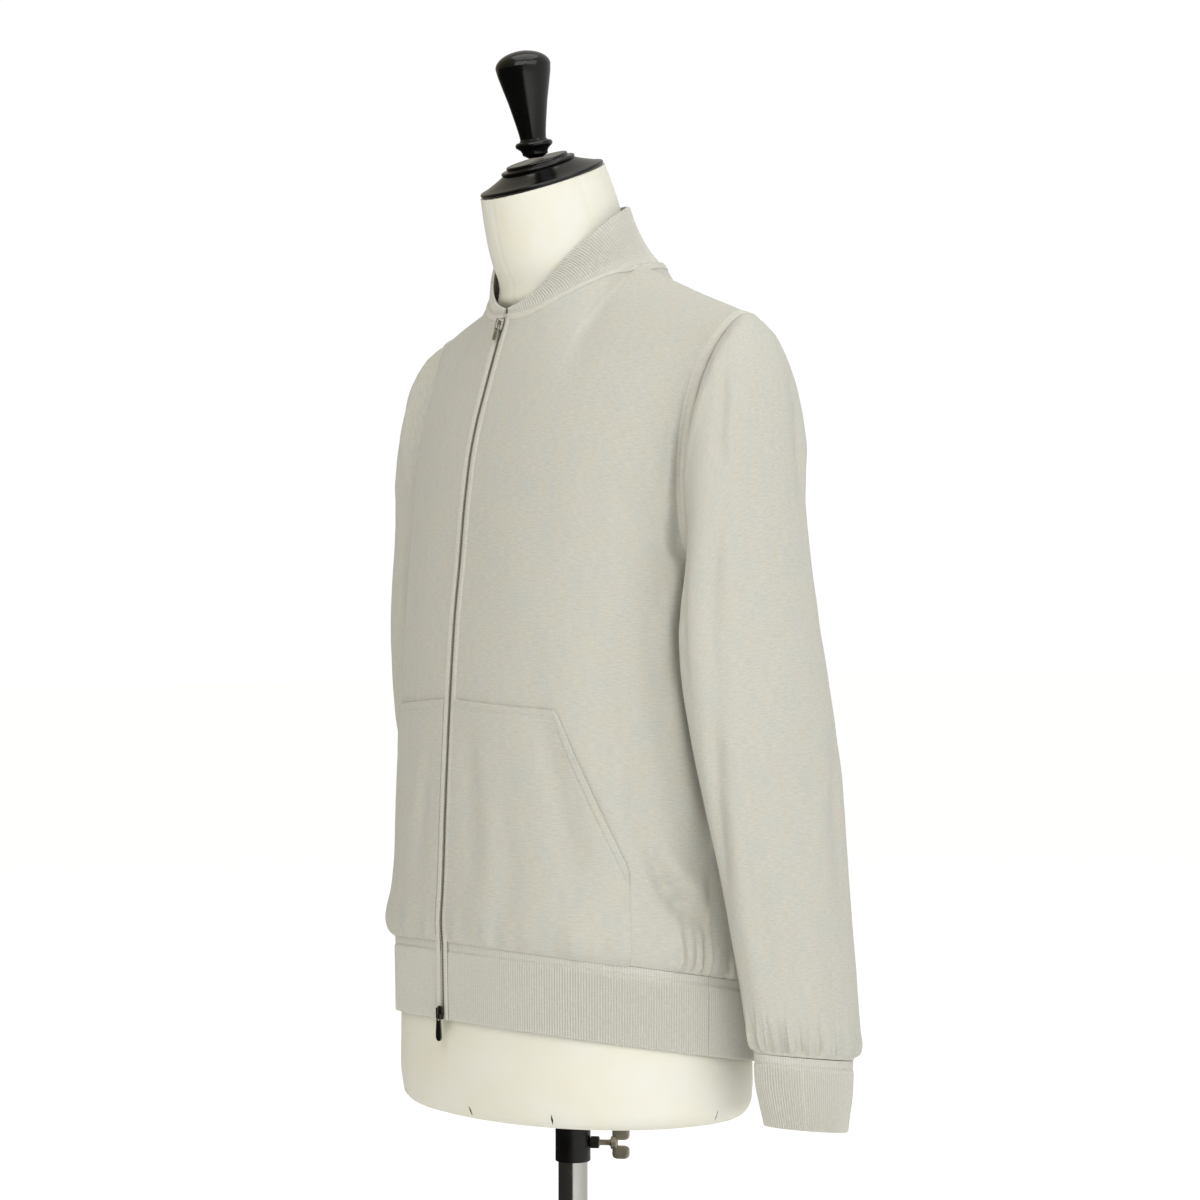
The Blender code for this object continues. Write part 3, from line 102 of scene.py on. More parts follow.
# -------- sizes of the visible cloth
THIN = 0.0012  # knit cloth from its face to its back
RIB_THIN = 0.0016
TAPE_LIFT = 0.0001  # a tape's underside above the cloth it is sewn to
TAPE_THICK = 0.0005
STITCH_WIDE = 0.00042
HEM_BAND = 0.0070  # the plain band under a rib's seam
CUFF_SEAM = 0.09  # share of the turn from a cuff's outer edge to its seam
CUFF_RADIUS, CUFF_GIRTH = 0.038, 0.24  # for the number of ribs, and round the cuff
SLEEVE_GIRTH = 0.42  # cloth round a sleeve, for its weave and its creases


def columns(text):
    """A table as a dictionary of arrays; its first line names the columns."""
    names, *rows = text.strip().splitlines()
    return dict(zip(names.split(), np.array([row.split() for row in rows], float).T))


BODY = columns("""height side front back
    0.06 0.175 -0.134 0.136
    0.15 0.1745 -0.134 0.136
    0.23 0.175 -0.1325 0.134
    0.29 0.174 -0.13 0.131
    0.34 0.1725 -0.127 0.13
    0.39 0.1715 -0.1245 0.131
    0.46 0.1735 -0.117 0.134
    0.51 0.179 -0.112 0.135
    0.57 0.188 -0.102 0.132
    0.6 0.194 -0.093 0.127
    0.64 0.2 -0.08 0.115
    0.67 0.205 -0.07 0.102
    0.72 0.205 -0.056 0.075
""")
BLOUSE = columns("""rise swell
    0 0
    0.005 0.0034
    0.013 0.0056
    0.024 0.0052
    0.038 0.0028
    0.06 0.0008
    0.1 0
    0.15 0
    0.205 0
    0.26 0
    0.31 0
""")
NECKLINE = columns("""turn height
    0 0.671
    18 0.673
    36 0.682
    48 0.69
    66 0.7005
    80 0.707
    97 0.7115
    120 0.715
    150 0.716
    180 0.716
""")
NECK_HALF, NECK_MID_Y, NECK_FRONT, NECK_BACK = 0.0755, 0.005, 0.075, 0.072
NECK_POINT_TURN = 97.0
SLEEVE = columns("""outer_x outer_h inner_x inner_h mid_y half_depth
    0.221 0.652 0.18 0.449 0.019 0.0545
    0.23 0.632 0.1805 0.443 0.0195 0.056
    0.236 0.602 0.1805 0.435 0.0195 0.0565
    0.238 0.565 0.18 0.425 0.0195 0.057
    0.238 0.525 0.1795 0.412 0.0195 0.059
    0.2385 0.48 0.179 0.395 0.02 0.063
    0.24 0.43 0.1785 0.37 0.023 0.0675
    0.243 0.38 0.178 0.338 0.029 0.0705
    0.2455 0.33 0.1785 0.302 0.0355 0.07
    0.2465 0.275 0.182 0.258 0.0435 0.0675
    0.2475 0.22 0.186 0.21 0.0515 0.064
    0.249 0.165 0.189 0.16 0.0585 0.0605
    0.2505 0.12 0.19 0.117 0.0645 0.0575
    0.251 0.085 0.191 0.083 0.068 0.055
    0.25 0.067 0.1925 0.0655 0.0695 0.0525
    0.247 0.06 0.1955 0.059 0.0695 0.048
""")
CUFF = columns("""outer_x inner_x height mid_y half_depth
    0.247 0.1955 0.059 0.0695 0.048
    0.2475 0.195 0.032 0.07 0.046
    0.247 0.199 0 0.0705 0.0385
""")
SLEEVE_LEAN = 0.13      # the lower rings fall towards the back
FORM = columns("""height half_width front back lean
    0 0.158 -0.111 0.123 0
    0.003 0.165 -0.12 0.126 0
    0.01 0.17 -0.125 0.13 0
    0.022 0.171 -0.128 0.132 0
    0.06 0.1705 -0.129 0.131 0
    0.12 0.168 -0.128 0.129 0
    0.2 0.163 -0.122 0.123 0
    0.29 0.157 -0.116 0.116 0
    0.37 0.159 -0.114 0.118 0
    0.44 0.166 -0.112 0.125 0
    0.5 0.172 -0.108 0.129 0
    0.55 0.177 -0.1 0.127 0
    0.59 0.176 -0.085 0.113 0
    0.62 0.166 -0.072 0.101 0
    0.64 0.15 -0.062 0.091 0
    0.655 0.129 -0.054 0.082 0
    0.668 0.105 -0.05 0.075 0
    0.68 0.085 -0.052 0.069 2
    0.692 0.069 -0.057 0.062 6
    0.708 0.06 -0.063 0.054 11
    0.73 0.056 -0.072 0.043 17
    0.756 0.0545 -0.079 0.033 20
    0.784 0.0525 -0.0845 0.0205 20
""")
ARRIVAL = columns("""share x y z
    0 0 0.32 1
    0.25 -0.1 0.45 0.9
    0.5 0 0.9 0.55
    0.75 0 1 0.22
    1 0.1 1 0.05
""")
COLLAR = columns("""turn height lean_in
    0 0.003 0
    12 0.007 0.0005
    30 0.016 0.0015
    50 0.029 0.004
    75 0.041 0.01
    100 0.047 0.019
    130 0.048 0.032
    180 0.0485 0.036
""")
POCKET_TOP = columns("""reach height
    0 0.348
    0.106 0.341
    0.11 0.336
    0.168 0.211
""")

# Soft creases. On a panel, places are shares of the way from the zip, or from the middle
# of the back, to the side seam, and heights above the form. On a sleeve they are turns
# in degrees from its outer edge towards the front. Bow bends the line; depth is the
# trough's, or a ridge's where it is negative, and lean says on which side of it the cloth
# turns the other way.
CREASE = "from_share from_height to_share to_height bow width depth lean"
FRONT_CREASES = columns(CREASE + """
    0.085 0.34 0.165 0.17 0.004 0.012 0.0022 1
    0.245 0.28 0.3 0.15 0.006 0.013 0.0017 -1
    0.38 0.36 0.555 0.165 0.006 0.013 0.0027 1
    0.735 0.35 0.805 0.205 -0.006 0.013 0.0034 -1
    0.775 0.235 1 0.165 -0.01 0.009 0.0085 1
    0.63 0.42 0.7 0.27 -0.006 0.015 0.0019 1
    0.948 0.625 0.893 0.44 0.003 0.007 -0.0048 1
    0.9 0.53 0.84 0.35 -0.003 0.009 -0.0055 1
    0.842 0.43 0.97 0.225 -0.005 0.01 -0.0065 1
    0.88 0.48 0.7 0.53 0.006 0.014 0.0016 1
    0.845 0.168 0.862 0.108 0 0.004 0.0028 1
    0.897 0.176 0.893 0.106 0.001 0.004 0.0034 -1
    0.938 0.166 0.944 0.108 0 0.003 0.0026 1
    0.972 0.172 0.966 0.108 0.001 0.004 0.003 1
    0.47 0.16 0.462 0.108 0 0.004 0.0016 1
    0.69 0.158 0.7 0.108 0 0.004 0.0016 -1
""")
RIGHT_CREASES = columns(CREASE + """
    0.948 0.62 0.893 0.445 0.003 0.007 -0.0045 1
    0.9 0.525 0.845 0.35 -0.003 0.009 -0.0052 1
    0.845 0.425 0.965 0.23 -0.005 0.01 -0.006 1
    0.865 0.17 0.875 0.108 0 0.004 0.003 1
    0.925 0.174 0.918 0.106 0.001 0.004 0.0032 -1
    0.966 0.168 0.97 0.108 0 0.004 0.0028 1
    0.09 0.32 0.14 0.185 0.005 0.01 0.0022 1
    0.34 0.3 0.38 0.165 0.006 0.012 0.0022 -1
    0.52 0.34 0.6 0.18 0.008 0.013 0.0029 1
    0.76 0.31 0.98 0.205 -0.016 0.013 0.007 1
    0.7 0.39 0.78 0.26 -0.008 0.014 0.0031 1
    0.9 0.475 0.72 0.515 0.006 0.014 0.0026 1
""")
BACK_CREASES = columns(CREASE + """
    -0.1 0.42 -0.14 0.2 0.01 0.016 0.0043 1
    0.16 0.44 0.22 0.23 -0.01 0.016 0.0042 -1
    -0.42 0.38 -0.34 0.19 0.01 0.015 0.0046 1
    0.46 0.36 0.4 0.18 -0.012 0.015 0.005 1
    0.76 0.3 0.98 0.2 -0.016 0.013 0.0082 1
    -0.74 0.31 -0.97 0.205 0.016 0.013 0.0082 -1
    0.92 0.47 0.62 0.54 0.012 0.015 0.0054 1
    -0.93 0.465 -0.6 0.535 -0.012 0.015 0.0054 -1
    0.7 0.43 0.56 0.3 0.01 0.016 0.0038 1
    -0.68 0.42 -0.58 0.29 -0.01 0.016 0.0038 1
""")
SLEEVE_CREASE = "from_turn from_height to_turn to_height bow width depth lean"
LEFT_SLEEVE_CREASES = columns(SLEEVE_CREASE + """
    50 0.625 54 0.515 0.002 0.008 0.0032 -1
    38 0.545 57 0.325 0.004 0.009 0.0036 -1
    56 0.37 104 0.165 -0.006 0.012 0.005 -1
    96 0.47 92 0.33 0.004 0.012 0.0028 1
    40 0.26 48 0.095 0.006 0.012 0.0032 1
    20 0.18 26 0.09 -0.004 0.011 0.0024 -1
    -38 0.62 -46 0.48 -0.006 0.012 0.0044 -1
    -70 0.56 -86 0.36 0.008 0.014 0.004 1
    -58 0.33 -40 0.15 0.012 0.014 0.004 1
    -110 0.4 -96 0.2 0.008 0.014 0.0036 1
    150 0.36 138 0.18 0.006 0.013 0.0028 1
""")
RIGHT_SLEEVE_CREASES = columns(SLEEVE_CREASE + """
    72 0.605 62 0.49 0.004 0.009 0.0032 1
    62 0.49 58 0.35 -0.004 0.012 0.003 -1
    54 0.38 64 0.21 0.01 0.012 0.0036 1
    94 0.45 90 0.32 0.004 0.012 0.0028 1
    34 0.25 44 0.1 0.006 0.012 0.0032 1
    -42 0.615 -50 0.47 -0.006 0.012 0.004 -1
    -74 0.55 -88 0.35 0.008 0.014 0.004 1
    -54 0.32 -38 0.16 0.012 0.014 0.0036 1
    -108 0.39 -94 0.21 0.008 0.014 0.0036 1
""")


# -------- small helpers
def smooth(at, knots, values):
    """Cubic through values at the knots, whose slopes are those between their neighbours."""
    at = np.clip(at, knots[0], knots[-1])
    slopes = np.gradient(values, knots, axis=0)
    k = np.clip(np.searchsorted(knots, at) - 1, 0, len(knots) - 2)
    widen = np.shape(at) + (1,) * (np.ndim(values) - 1)
    span = (knots[k + 1] - knots[k]).reshape(widen)
    f = (at - knots[k]).reshape(widen) / span
    return (
        (1 + 2 * f) * (1 - f) ** 2 * values[k]
        + f * (1 - f) ** 2 * span * slopes[k]
        + f * f * (3 - 2 * f) * values[k + 1]
        - f * f * (1 - f) * span * slopes[k + 1]
    )


def unit(vectors):
    length = np.linalg.norm(vectors, axis=-1, keepdims=True)
    return vectors / np.maximum(length, 1e-12)


def eased(ways, times):
    """Directions, each made the mean of itself and its neighbours, so many times over."""
    for _ in range(times):
        ways[1:-1] = unit(ways[:-2] + ways[1:-1] + ways[2:])
    return ways


def facing(normals, out):
    """The normals, turned round where they point against out."""
    return normals * np.where((normals * out).sum(axis=-1, keepdims=True) < 0, -1, 1)


def run_of(curve):
    """Distances of a polyline's points from its start."""
    return np.append(0.0, np.cumsum(np.linalg.norm(np.diff(curve, axis=0), axis=1)))


def mean_run(grid, axis):
    """Distances of a grid's rows (axis 0) or columns (axis 1) from the first, as means."""
    lengths = np.linalg.norm(np.diff(grid, axis=axis), axis=2).mean(axis=1 - axis)
    return np.append(0.0, np.cumsum(lengths))


def read_at(at, run, values):
    """Values that are given at the places of run, read off at other places."""
    return np.stack([np.interp(at, run, column) for column in values.T], axis=1)


def along(curve, distances):
    """Points at the given distances along a polyline."""
    return read_at(distances, run_of(curve), curve)


def picks(count, kept):
    """Numbers from 0 to count - 1: about so many of them, evenly spread."""
    return np.unique(np.linspace(0, count - 1, kept).round().astype(int))


def every(count, pace):
    """Numbers from 0 at this pace, and the last one."""
    return np.unique(np.r_[0:count:pace, count - 1])


def quarter(is_front, count):
    """Turns from the zip, or from the middle of the back, to the side."""
    turn = np.linspace(0, math.pi / 2, count)
    return turn if is_front else math.pi - turn


def sizes():
    return bpy.context.scene.jacket_sizes


def body_at(height, edge):
    """How far out the body's side, front or back lies at a height."""
    return smooth(height, BODY["height"], BODY[edge])


def length_of(curve):
    return float(np.linalg.norm(np.diff(curve, axis=0), axis=1).sum())


def mirrored(points):
    return points * np.array([-1.0, 1.0, 1.0])


def both_halves(grid):
    """A grid from the wearer's left edge over the middle column to the right edge."""
    return np.concatenate([grid[:, ::-1], mirrored(grid)[:, 1:]], axis=1)


def rib_top(y):
    """Height of the seam between the body and the ribbed hem."""
    return HEM_FRONT + RIB_HEIGHT - HEM_SLOPE * (y - HEM_FRONT_Y)


def section(height, turn, swell=0.0):
    """Points of the body's outline at these heights, turned from the zip to the back.

    A quarter runs as an oval that is a little squarer than an ellipse.
    """
    side, front, back = (body_at(height, edge) for edge in ("side", "front", "back"))
    sine, cosine = (np.abs(f(turn)) ** BODY_SQUARE for f in (np.sin, np.cos))
    reach = np.where(np.cos(turn) > 0, front - swell - SIDE_Y, back + swell - SIDE_Y)
    return np.stack([(side + swell) * sine, SIDE_Y + reach * cosine, height + 0 * turn], axis=-1)


def column_distances(total, last_width):
    """Distances of the columns along a row: a placket's width, even ones, a tape's width."""
    middle = np.linspace(PLACKET_WIDTH, total - last_width, FRONT_COLUMNS - 1)
    return np.concatenate([[0.0], middle, [total]])


def start_at_zip(curve, is_front):
    """Cuts the stretch that lies in the zip's slot off the row."""
    if not is_front:
        return curve
    reach = np.interp(ZIP_HALF, curve[:, 0], np.arange(len(curve)))
    first = int(math.floor(reach)) + 1
    f = reach - (first - 1)
    return np.vstack([curve[first - 1] * (1 - f) + curve[first] * f, curve[first:]])


def swell_at(turn, amount):
    """The blouse is held flat at the zip and lies in soft uneven waves elsewhere."""
    held = 0.25 + 0.75 * np.clip(np.sin(turn) * 2.2, 0, 1)
    held = np.where(np.cos(turn) < 0, 0.55 + 0.45 * np.abs(np.sin(turn)), held)
    return amount * held * (1 + 0.22 * np.sin(9 * turn + 0.6) + 0.16 * np.sin(23 * turn + 1.1))


def low_share(share):
    """Turns the share of the last rise into the share of the height above the blouse."""
    start = BLOUSE_TOP / BLOUSE["rise"][-1]
    return (share - start) / (1 - start)


def along_row(row, last_width):
    return along(row, column_distances(length_of(row), last_width))


def body_row(rise, amount, is_front):
    """One row of the lower body, from the zip or the middle of the back to the side seam."""
    turn = quarter(is_front, 80)
    height = np.full(80, 0.14)
    for _ in range(6):
        y = section(height, turn)[:, 1]
        share = rise / BLOUSE["rise"][-1]
        top = ARMPIT_H + (0.015 if is_front else 0.010) * np.cos(turn) ** 2
        gap = top - rib_top(y) - BLOUSE_TOP
        above = rise if rise < BLOUSE_TOP else BLOUSE_TOP + gap * low_share(share)
        height = rib_top(y) + above
    row = section(height, turn, swell_at(turn, amount))
    return along_row(start_at_zip(row, is_front), ARM_BAND_WIDTH)


def armhole(turn, is_front):
    """The armhole's edge, from its top (0 degrees) to the armpit (180 degrees)."""
    turn = np.radians(turn)
    middle, half = (ARMPIT_H + SHOULDER_H) / 2, (SHOULDER_H - ARMPIT_H) / 2
    height = middle + half * np.cos(turn)
    q = (height - ARMPIT_H) / (2 * half)
    side = float(body_at(np.array(ARMPIT_H), "side"))
    x = side + ARM_SPREAD * q + (SHOULDER_X - side - ARM_SPREAD) * q**5
    depth = -ARM_FRONT_DEPTH if is_front else ARM_BACK_DEPTH
    y = SIDE_Y + (SHOULDER_Y - SIDE_Y) * q + depth * np.sin(turn)
    return np.stack([x, y, height], axis=-1)


def chest_row(turn, is_front):
    """A row that ends on the armhole, its bend easing from a quarter turn."""
    edge = armhole(turn, is_front)
    share = (180 - turn) / (180 - CHEST_TURN)
    base = ARMPIT_H + (0.015 if is_front else 0.010)
    middle_h = base + (CHEST_H - base) * share
    middle_y = float(body_at(np.array(middle_h), "front" if is_front else "back"))
    bend = math.radians(90 - (16 if is_front else 28) * share)
    square = BODY_SQUARE + (CHEST_SQUARE - BODY_SQUARE) * share
    part = np.linspace(0, bend, 80)
    x = edge[0] * (np.sin(part) ** square / math.sin(bend) ** square)
    back = (1 - np.cos(part) ** square) / (1 - math.cos(bend) ** square)
    y = middle_y + (edge[1] - middle_y) * back
    z = middle_h + (edge[2] - middle_h) * (part / bend) ** 1.5
    return along_row(start_at_zip(np.stack([x, y, z], axis=-1), is_front), ARM_BAND_WIDTH)


def neckline(turn):
    """The neckline seam at this turn from the zip, in degrees."""
    around = np.radians(turn)
    depth = np.where(np.cos(around) > 0, NECK_FRONT, NECK_BACK)
    x, y = NECK_HALF * np.sin(around), NECK_MID_Y - depth * np.cos(around)
    return np.stack([x, y, smooth(turn, NECKLINE["turn"], NECKLINE["height"])], axis=-1)


def shoulder_seam(share):
    """The shoulder seam from the neck (0) to the armhole (1), a little hollow."""
    neck = neckline(np.array(NECK_POINT_TURN))
    tip = armhole(0.0, True)
    line = neck + (tip - neck) * share[:, None]
    line[:, 2] -= 0.001 * np.sin(math.pi * share)
    return line


def top_row(is_front):
    """The upper edge of a panel: the neckline, then the shoulder seam."""
    start = math.degrees(math.asin(ZIP_HALF / NECK_HALF)) if is_front else 180.0
    neck = neckline(np.linspace(start, NECK_POINT_TURN, 60))
    even = np.linspace(PLACKET_WIDTH, length_of(neck), NECK_COLUMNS)
    neck = along(neck, np.append(0.0, even))
    total = length_of(np.array([neckline(np.array(NECK_POINT_TURN)), armhole(0.0, True)]))
    even = np.linspace(0, 1 - ARM_BAND_WIDTH / total, FRONT_COLUMNS - NECK_COLUMNS)
    return np.vstack([neck[:-1], shoulder_seam(np.append(even, 1.0))])


def upper_rows(below, chest, is_front):
    """Rows from the chest row over the shoulder, each column a cubic in space.

    Its two edges are drawn onto the zip's line and the armhole.
    """
    top = top_row(is_front)
    reach = np.linalg.norm(top - chest, axis=1, keepdims=True)
    share = np.linspace(0, 1, FRONT_COLUMNS + 1)
    arrive = [smooth(share, ARRIVAL["share"], ARRIVAL[k]) for k in "xyz"]
    arrive = unit(np.stack(arrive, axis=1)) * np.array([1, 1 if is_front else -1, 1])
    leave = unit(chest - below) * reach
    arrive = arrive * reach * 1.05
    middle_h = np.interp(UPPER_STEPS, (0, 1), (chest[0, 2], top[0, 2]))
    middle_y = body_at(middle_h, "front" if is_front else "back")
    middle_y += (top[0, 1] - middle_y[-1]) * np.array(UPPER_STEPS) ** 2
    middle = np.stack([np.full(len(middle_h), top[0, 0]), middle_y, middle_h], axis=1)
    edge = armhole(CHEST_TURN * (1 - np.array(UPPER_STEPS)), is_front)
    rows = []
    for k, step in enumerate(UPPER_STEPS):
        v = np.full((len(chest), 1), step)
        if k == len(UPPER_STEPS) - 2:
            v = 1 - NECK_BAND_WIDTH / reach
        row = (
            (1 + 2 * v) * (1 - v) ** 2 * chest
            + v * (1 - v) ** 2 * leave
            + v * v * (3 - 2 * v) * top
            - v * v * (1 - v) * arrive
        )
        pull = share[:, None]
        row = row + (1 - pull) ** 2 * (middle[k] - row[0]) + pull**2 * (edge[k] - row[-1])
        rows.append(row)
    rows[-1] = top
    return rows


def panel(is_front):
    """Half of the front or back as a grid: rows go up, columns from the middle to the side."""
    rows = [body_row(r, s, is_front) for r, s in zip(BLOUSE["rise"], BLOUSE["swell"])]
    for turn in np.linspace(180, CHEST_TURN, ARM_ROWS_LOW + 1):
        rows.append(chest_row(turn, is_front))
    rows += upper_rows(rows[-2], rows[-1], is_front)[1:]
    return np.array(rows)


def armhole_turns():
    """Turns round the armhole at which the panels' rows end, from its top to the armpit."""
    upper = CHEST_TURN * (1 - np.array(UPPER_STEPS))
    lower = np.linspace(CHEST_TURN, 180, ARM_ROWS_LOW + 1)
    return np.concatenate([upper[::-1], lower[1:]])


def lean_down(ring, middle_y, share):
    """Tips a ring towards the back by a share of the sleeve's lean."""
    ring[:, 2] -= SLEEVE_LEAN * share * (ring[:, 1] - middle_y)
    return ring


def oval(outer, inner, middle_y, half_depth, turn):
    """A ring between an outer and an inner edge, turned from the outer edge to the front."""
    centre, arm = (outer + inner) / 2, (outer - inner) / 2
    ring = centre + arm * np.cos(turn)[:, None]
    ring[:, 1] = middle_y - half_depth * np.sin(turn)
    return ring


def sleeve_grid():
    """Rings from the armhole down to the cuff; the last ones are gathered."""
    turns = armhole_turns()
    around = np.radians(np.concatenate([turns, 360 - turns[-2:0:-1]]))
    even = np.linspace(0, 2 * math.pi, len(around), endpoint=False)
    front = armhole(turns, True)
    back = armhole(turns[-2:0:-1], False)
    rings = [np.concatenate([front, back]) + np.array([SEAM, 0, 0])]
    table = SLEEVE
    count = len(table["mid_y"])
    for k in range(count):
        share = min(1.0, (k + 1) / 5)
        turn = around * (1 - share) + even * share
        gather = 1 + 0.018 * max(0.0, (k - count + 5) / 4) * np.cos(len(even) / 2 * even)
        if k == count - 1:
            gather = 1.0
        outer = np.array([table["outer_x"][k], 0, table["outer_h"][k]])
        inner = np.array([table["inner_x"][k], 0, table["inner_h"][k]])
        middle = table["mid_y"][k]
        ring = oval(outer, inner, middle, table["half_depth"][k], turn)
        centre = np.array([(outer[0] + inner[0]) / 2, middle, (outer[2] + inner[2]) / 2])
        ring = centre + (ring - centre) * np.reshape(gather, (-1, 1))
        rings.append(lean_down(ring, middle, np.clip((k - 5) / (count - 6), 0, 1)))
    return np.array(rings)


def hem_edge(turn, drop):
    """The hem's base outline, a drop below its seam."""
    height = np.full(len(turn), 0.14)
    for _ in range(6):
        height = rib_top(section(height, turn)[:, 1]) - drop
    pinch = -0.0012 * drop / RIB_HEIGHT
    return section(height, turn, pinch)


def stitch(points, first, second):
    """Triangles between two rows of point numbers that run side by side.

    Each next triangle is the one that adds the shorter edge between the rows.
    """
    faces, i, j = [], 0, 0
    while i < len(first) - 1 or j < len(second) - 1:
        is_on_first = j == len(second) - 1
        if not is_on_first and i < len(first) - 1:
            ahead = points[first[i + 1]] - points[second[j]]
            behind = points[first[i]] - points[second[j + 1]]
            is_on_first = np.linalg.norm(ahead) <= np.linalg.norm(behind)
        if is_on_first:
            faces.append((first[i], first[i + 1], second[j]))
            i += 1
        else:
            faces.append((first[i], second[j + 1], second[j]))
            j += 1
    return faces


def step(low, high, at):
    """0 below low, 1 above high, and a soft S between."""
    f = np.clip((at - low) / (high - low), 0, 1)
    return f * f * (3 - 2 * f)


def waves(at, seed, pitch):
    """Uneven waves about 0: three sines whose pitches and phases follow from the seed."""
    total = 0.0
    for k in range(3):
        total = total + np.sin(2 * math.pi * at / (pitch * (0.72 + 0.37 * k)) + seed * (k + 1.7))
    return total / 2.2


# -------- materials
def linear(code, alpha=1.0):
    """An sRGB hex colour as linear RGBA."""
    parts = [int(code[k : k + 2], 16) / 255 for k in (1, 3, 5)]
    return (*[c / 12.92 if c <= 0.04045 else ((c + 0.055) / 1.055) ** 2.4 for c in parts], alpha)


def hex_colour(label, about, code):
    """A colour property of a material, with its sRGB hex value as the default."""
    return bpy.props.FloatVectorProperty(
        name=label, description=about, subtype="COLOR", size=4, min=0, max=1, default=linear(code)
    )


def add(tree, kind, inputs=(), out=0, **settings):
    """A shader node with its settings and links; gives one of its output sockets.

    Inputs are values or the sockets that feed them, in the node's own order, or in a
    dictionary by name or number.
    """
    made = tree.nodes.new("ShaderNode" + kind)
    for key, value in settings.items():
        setattr(made, key, value)
    feed(tree, made, inputs if isinstance(inputs, dict) else dict(enumerate(inputs)))
    return made.outputs[out]


def feed(tree, node, inputs):
    """Gives a node's inputs their values, or the sockets that feed them."""
    for key, value in inputs.items():
        if isinstance(value, bpy.types.NodeSocket):
            tree.links.new(value, node.inputs[key])
        else:
            node.inputs[key].default_value = value


def new_material(name, **shader_values):
    """A material with a Principled shader, and values set on the shader's own sockets."""
    made = bpy.data.materials.new(name)
    made.use_nodes = True
    shader = made.node_tree.nodes["Principled BSDF"]
    feed(None, shader, {key.replace("_", " "): value for key, value in shader_values.items()})
    return made, made.node_tree, shader


def cloth_places(tree, across, along_cloth):
    """The cloth's own UV map, in millimetres, divided by a pattern's pitch each way."""
    place = add(tree, "UVMap", uv_map="Cloth")
    return add(tree, "Mapping", {"Vector": place, "Scale": (1 / across, 1 / along_cloth, 1)})


def weave_waves(tree, across, along_cloth):
    """Waves 0 to 1 across the cloth and along it, one for each pitch in millimetres."""
    places = {"Vector": cloth_places(tree, across, along_cloth), "Scale": 2 * math.pi / 20,
              "Distortion": 0.0}
    return [add(tree, "TexWave", places, "Fac", bands_direction=way) for way in "XY"]


def toned(tree, colour, *layers):
    """The colour, mixed towards a tone for each layer in turn.

    A layer is its tone, a socket, two of the socket's values, and how much of the tone
    shows at the first and at the second.
    """
    for tone, *levels in layers:
        amount = add(tree, "MapRange", levels)
        colour = add(tree, "Mix", {0: amount, 6: colour, 7: tone}, 2, data_type="RGBA")
    return colour


def darker(colour, share):
    """The colour with its light cut to this share."""
    return (*[share * c for c in colour[:3]], 1.0)


def knit_material(name, colour, cool, warm, wale, course, relief, painted_furrow_shade):
    """Fine-gauge knit of a cotton blend: matte, heathered in short level streaks.

    The wale and the course are pitches in millimetres; a rib's wale is the ribs' own
    pitch. The painted furrow shade is painted shade: how much darker the cloth is made
    between two wales, where its relief has troughs.
    """
    made, tree, shader = new_material(
        name, Roughness=0.92, Sheen_Weight=0.20, Sheen_Roughness=0.55, Specular_IOR_Level=0.25
    )
    wales, courses = weave_waves(tree, wale or sizes().rib_pitch * 1000, course)
    streak, mottle, grain = (
        add(tree, "TexNoise", {"Vector": cloth_places(tree, *size), "Scale": 1.0, "Detail": 3.0})
        for size in ((7.0, 0.9), (11.0, 30.0), (2.0, 1.3))
    )
    dark_yarn_and_shade = darker(colour, 0.72)
    tone = toned(
        tree,
        colour,
        (cool, mottle, 0.50, 0.66, 0.0, 0.5),
        (warm, mottle, 0.50, 0.34, 0.0, 0.5),
        (dark_yarn_and_shade, streak, 0.35, 0.70, 0.0, 0.50),
        (dark_yarn_and_shade, grain, 0.40, 0.75, 0.0, 0.30),
        # Painted shade: the troughs between wales are darkened by the painted furrow shade.
        (dark_yarn_and_shade, wales, 0.0, 0.8, painted_furrow_shade, 0.0),
    )
    height = add(tree, "Math", [courses, 0.6, wales], operation="MULTIPLY_ADD")
    height = add(tree, "Math", [grain, 1.2, height], operation="MULTIPLY_ADD")
    bump = add(tree, "Bump", {"Height": height, "Strength": relief, "Distance": 0.00035})
    feed(tree, shader, {"Base Color": tone, "Normal": bump})
    return made


def canvas_material(name, colour):
    """Tightly woven cotton canvas: matte, plain weave, a few slubs, yellowed in patches."""
    made, tree, shader = new_material(
        name, Roughness=0.82, Sheen_Weight=0.08, Specular_IOR_Level=0.3
    )
    woven = add(tree, "Math", weave_waves(tree, 0.9, 0.9), operation="MULTIPLY")
    mottle, thread = (
        add(tree, "TexNoise", {"Vector": cloth_places(tree, *size), "Scale": 1.0, "Detail": detail})
        for size, detail in (((60.0, 60.0), 4.0), ((12.0, 1.1), 2.0))
    )
    yellowed = (colour[0] * 0.97, colour[1] * 0.95, colour[2] * 0.86, 1.0)
    tone = toned(tree, colour, (yellowed, mottle, 0.4, 0.7, 0.0, 0.8))
    height = add(tree, "Math", [thread, 0.8, woven], operation="MULTIPLY_ADD")
    bump = add(tree, "Bump", {"Height": height, "Strength": 0.25, "Distance": 0.0002})
    feed(tree, shader, {"Base Color": tone, "Normal": bump})
    return made


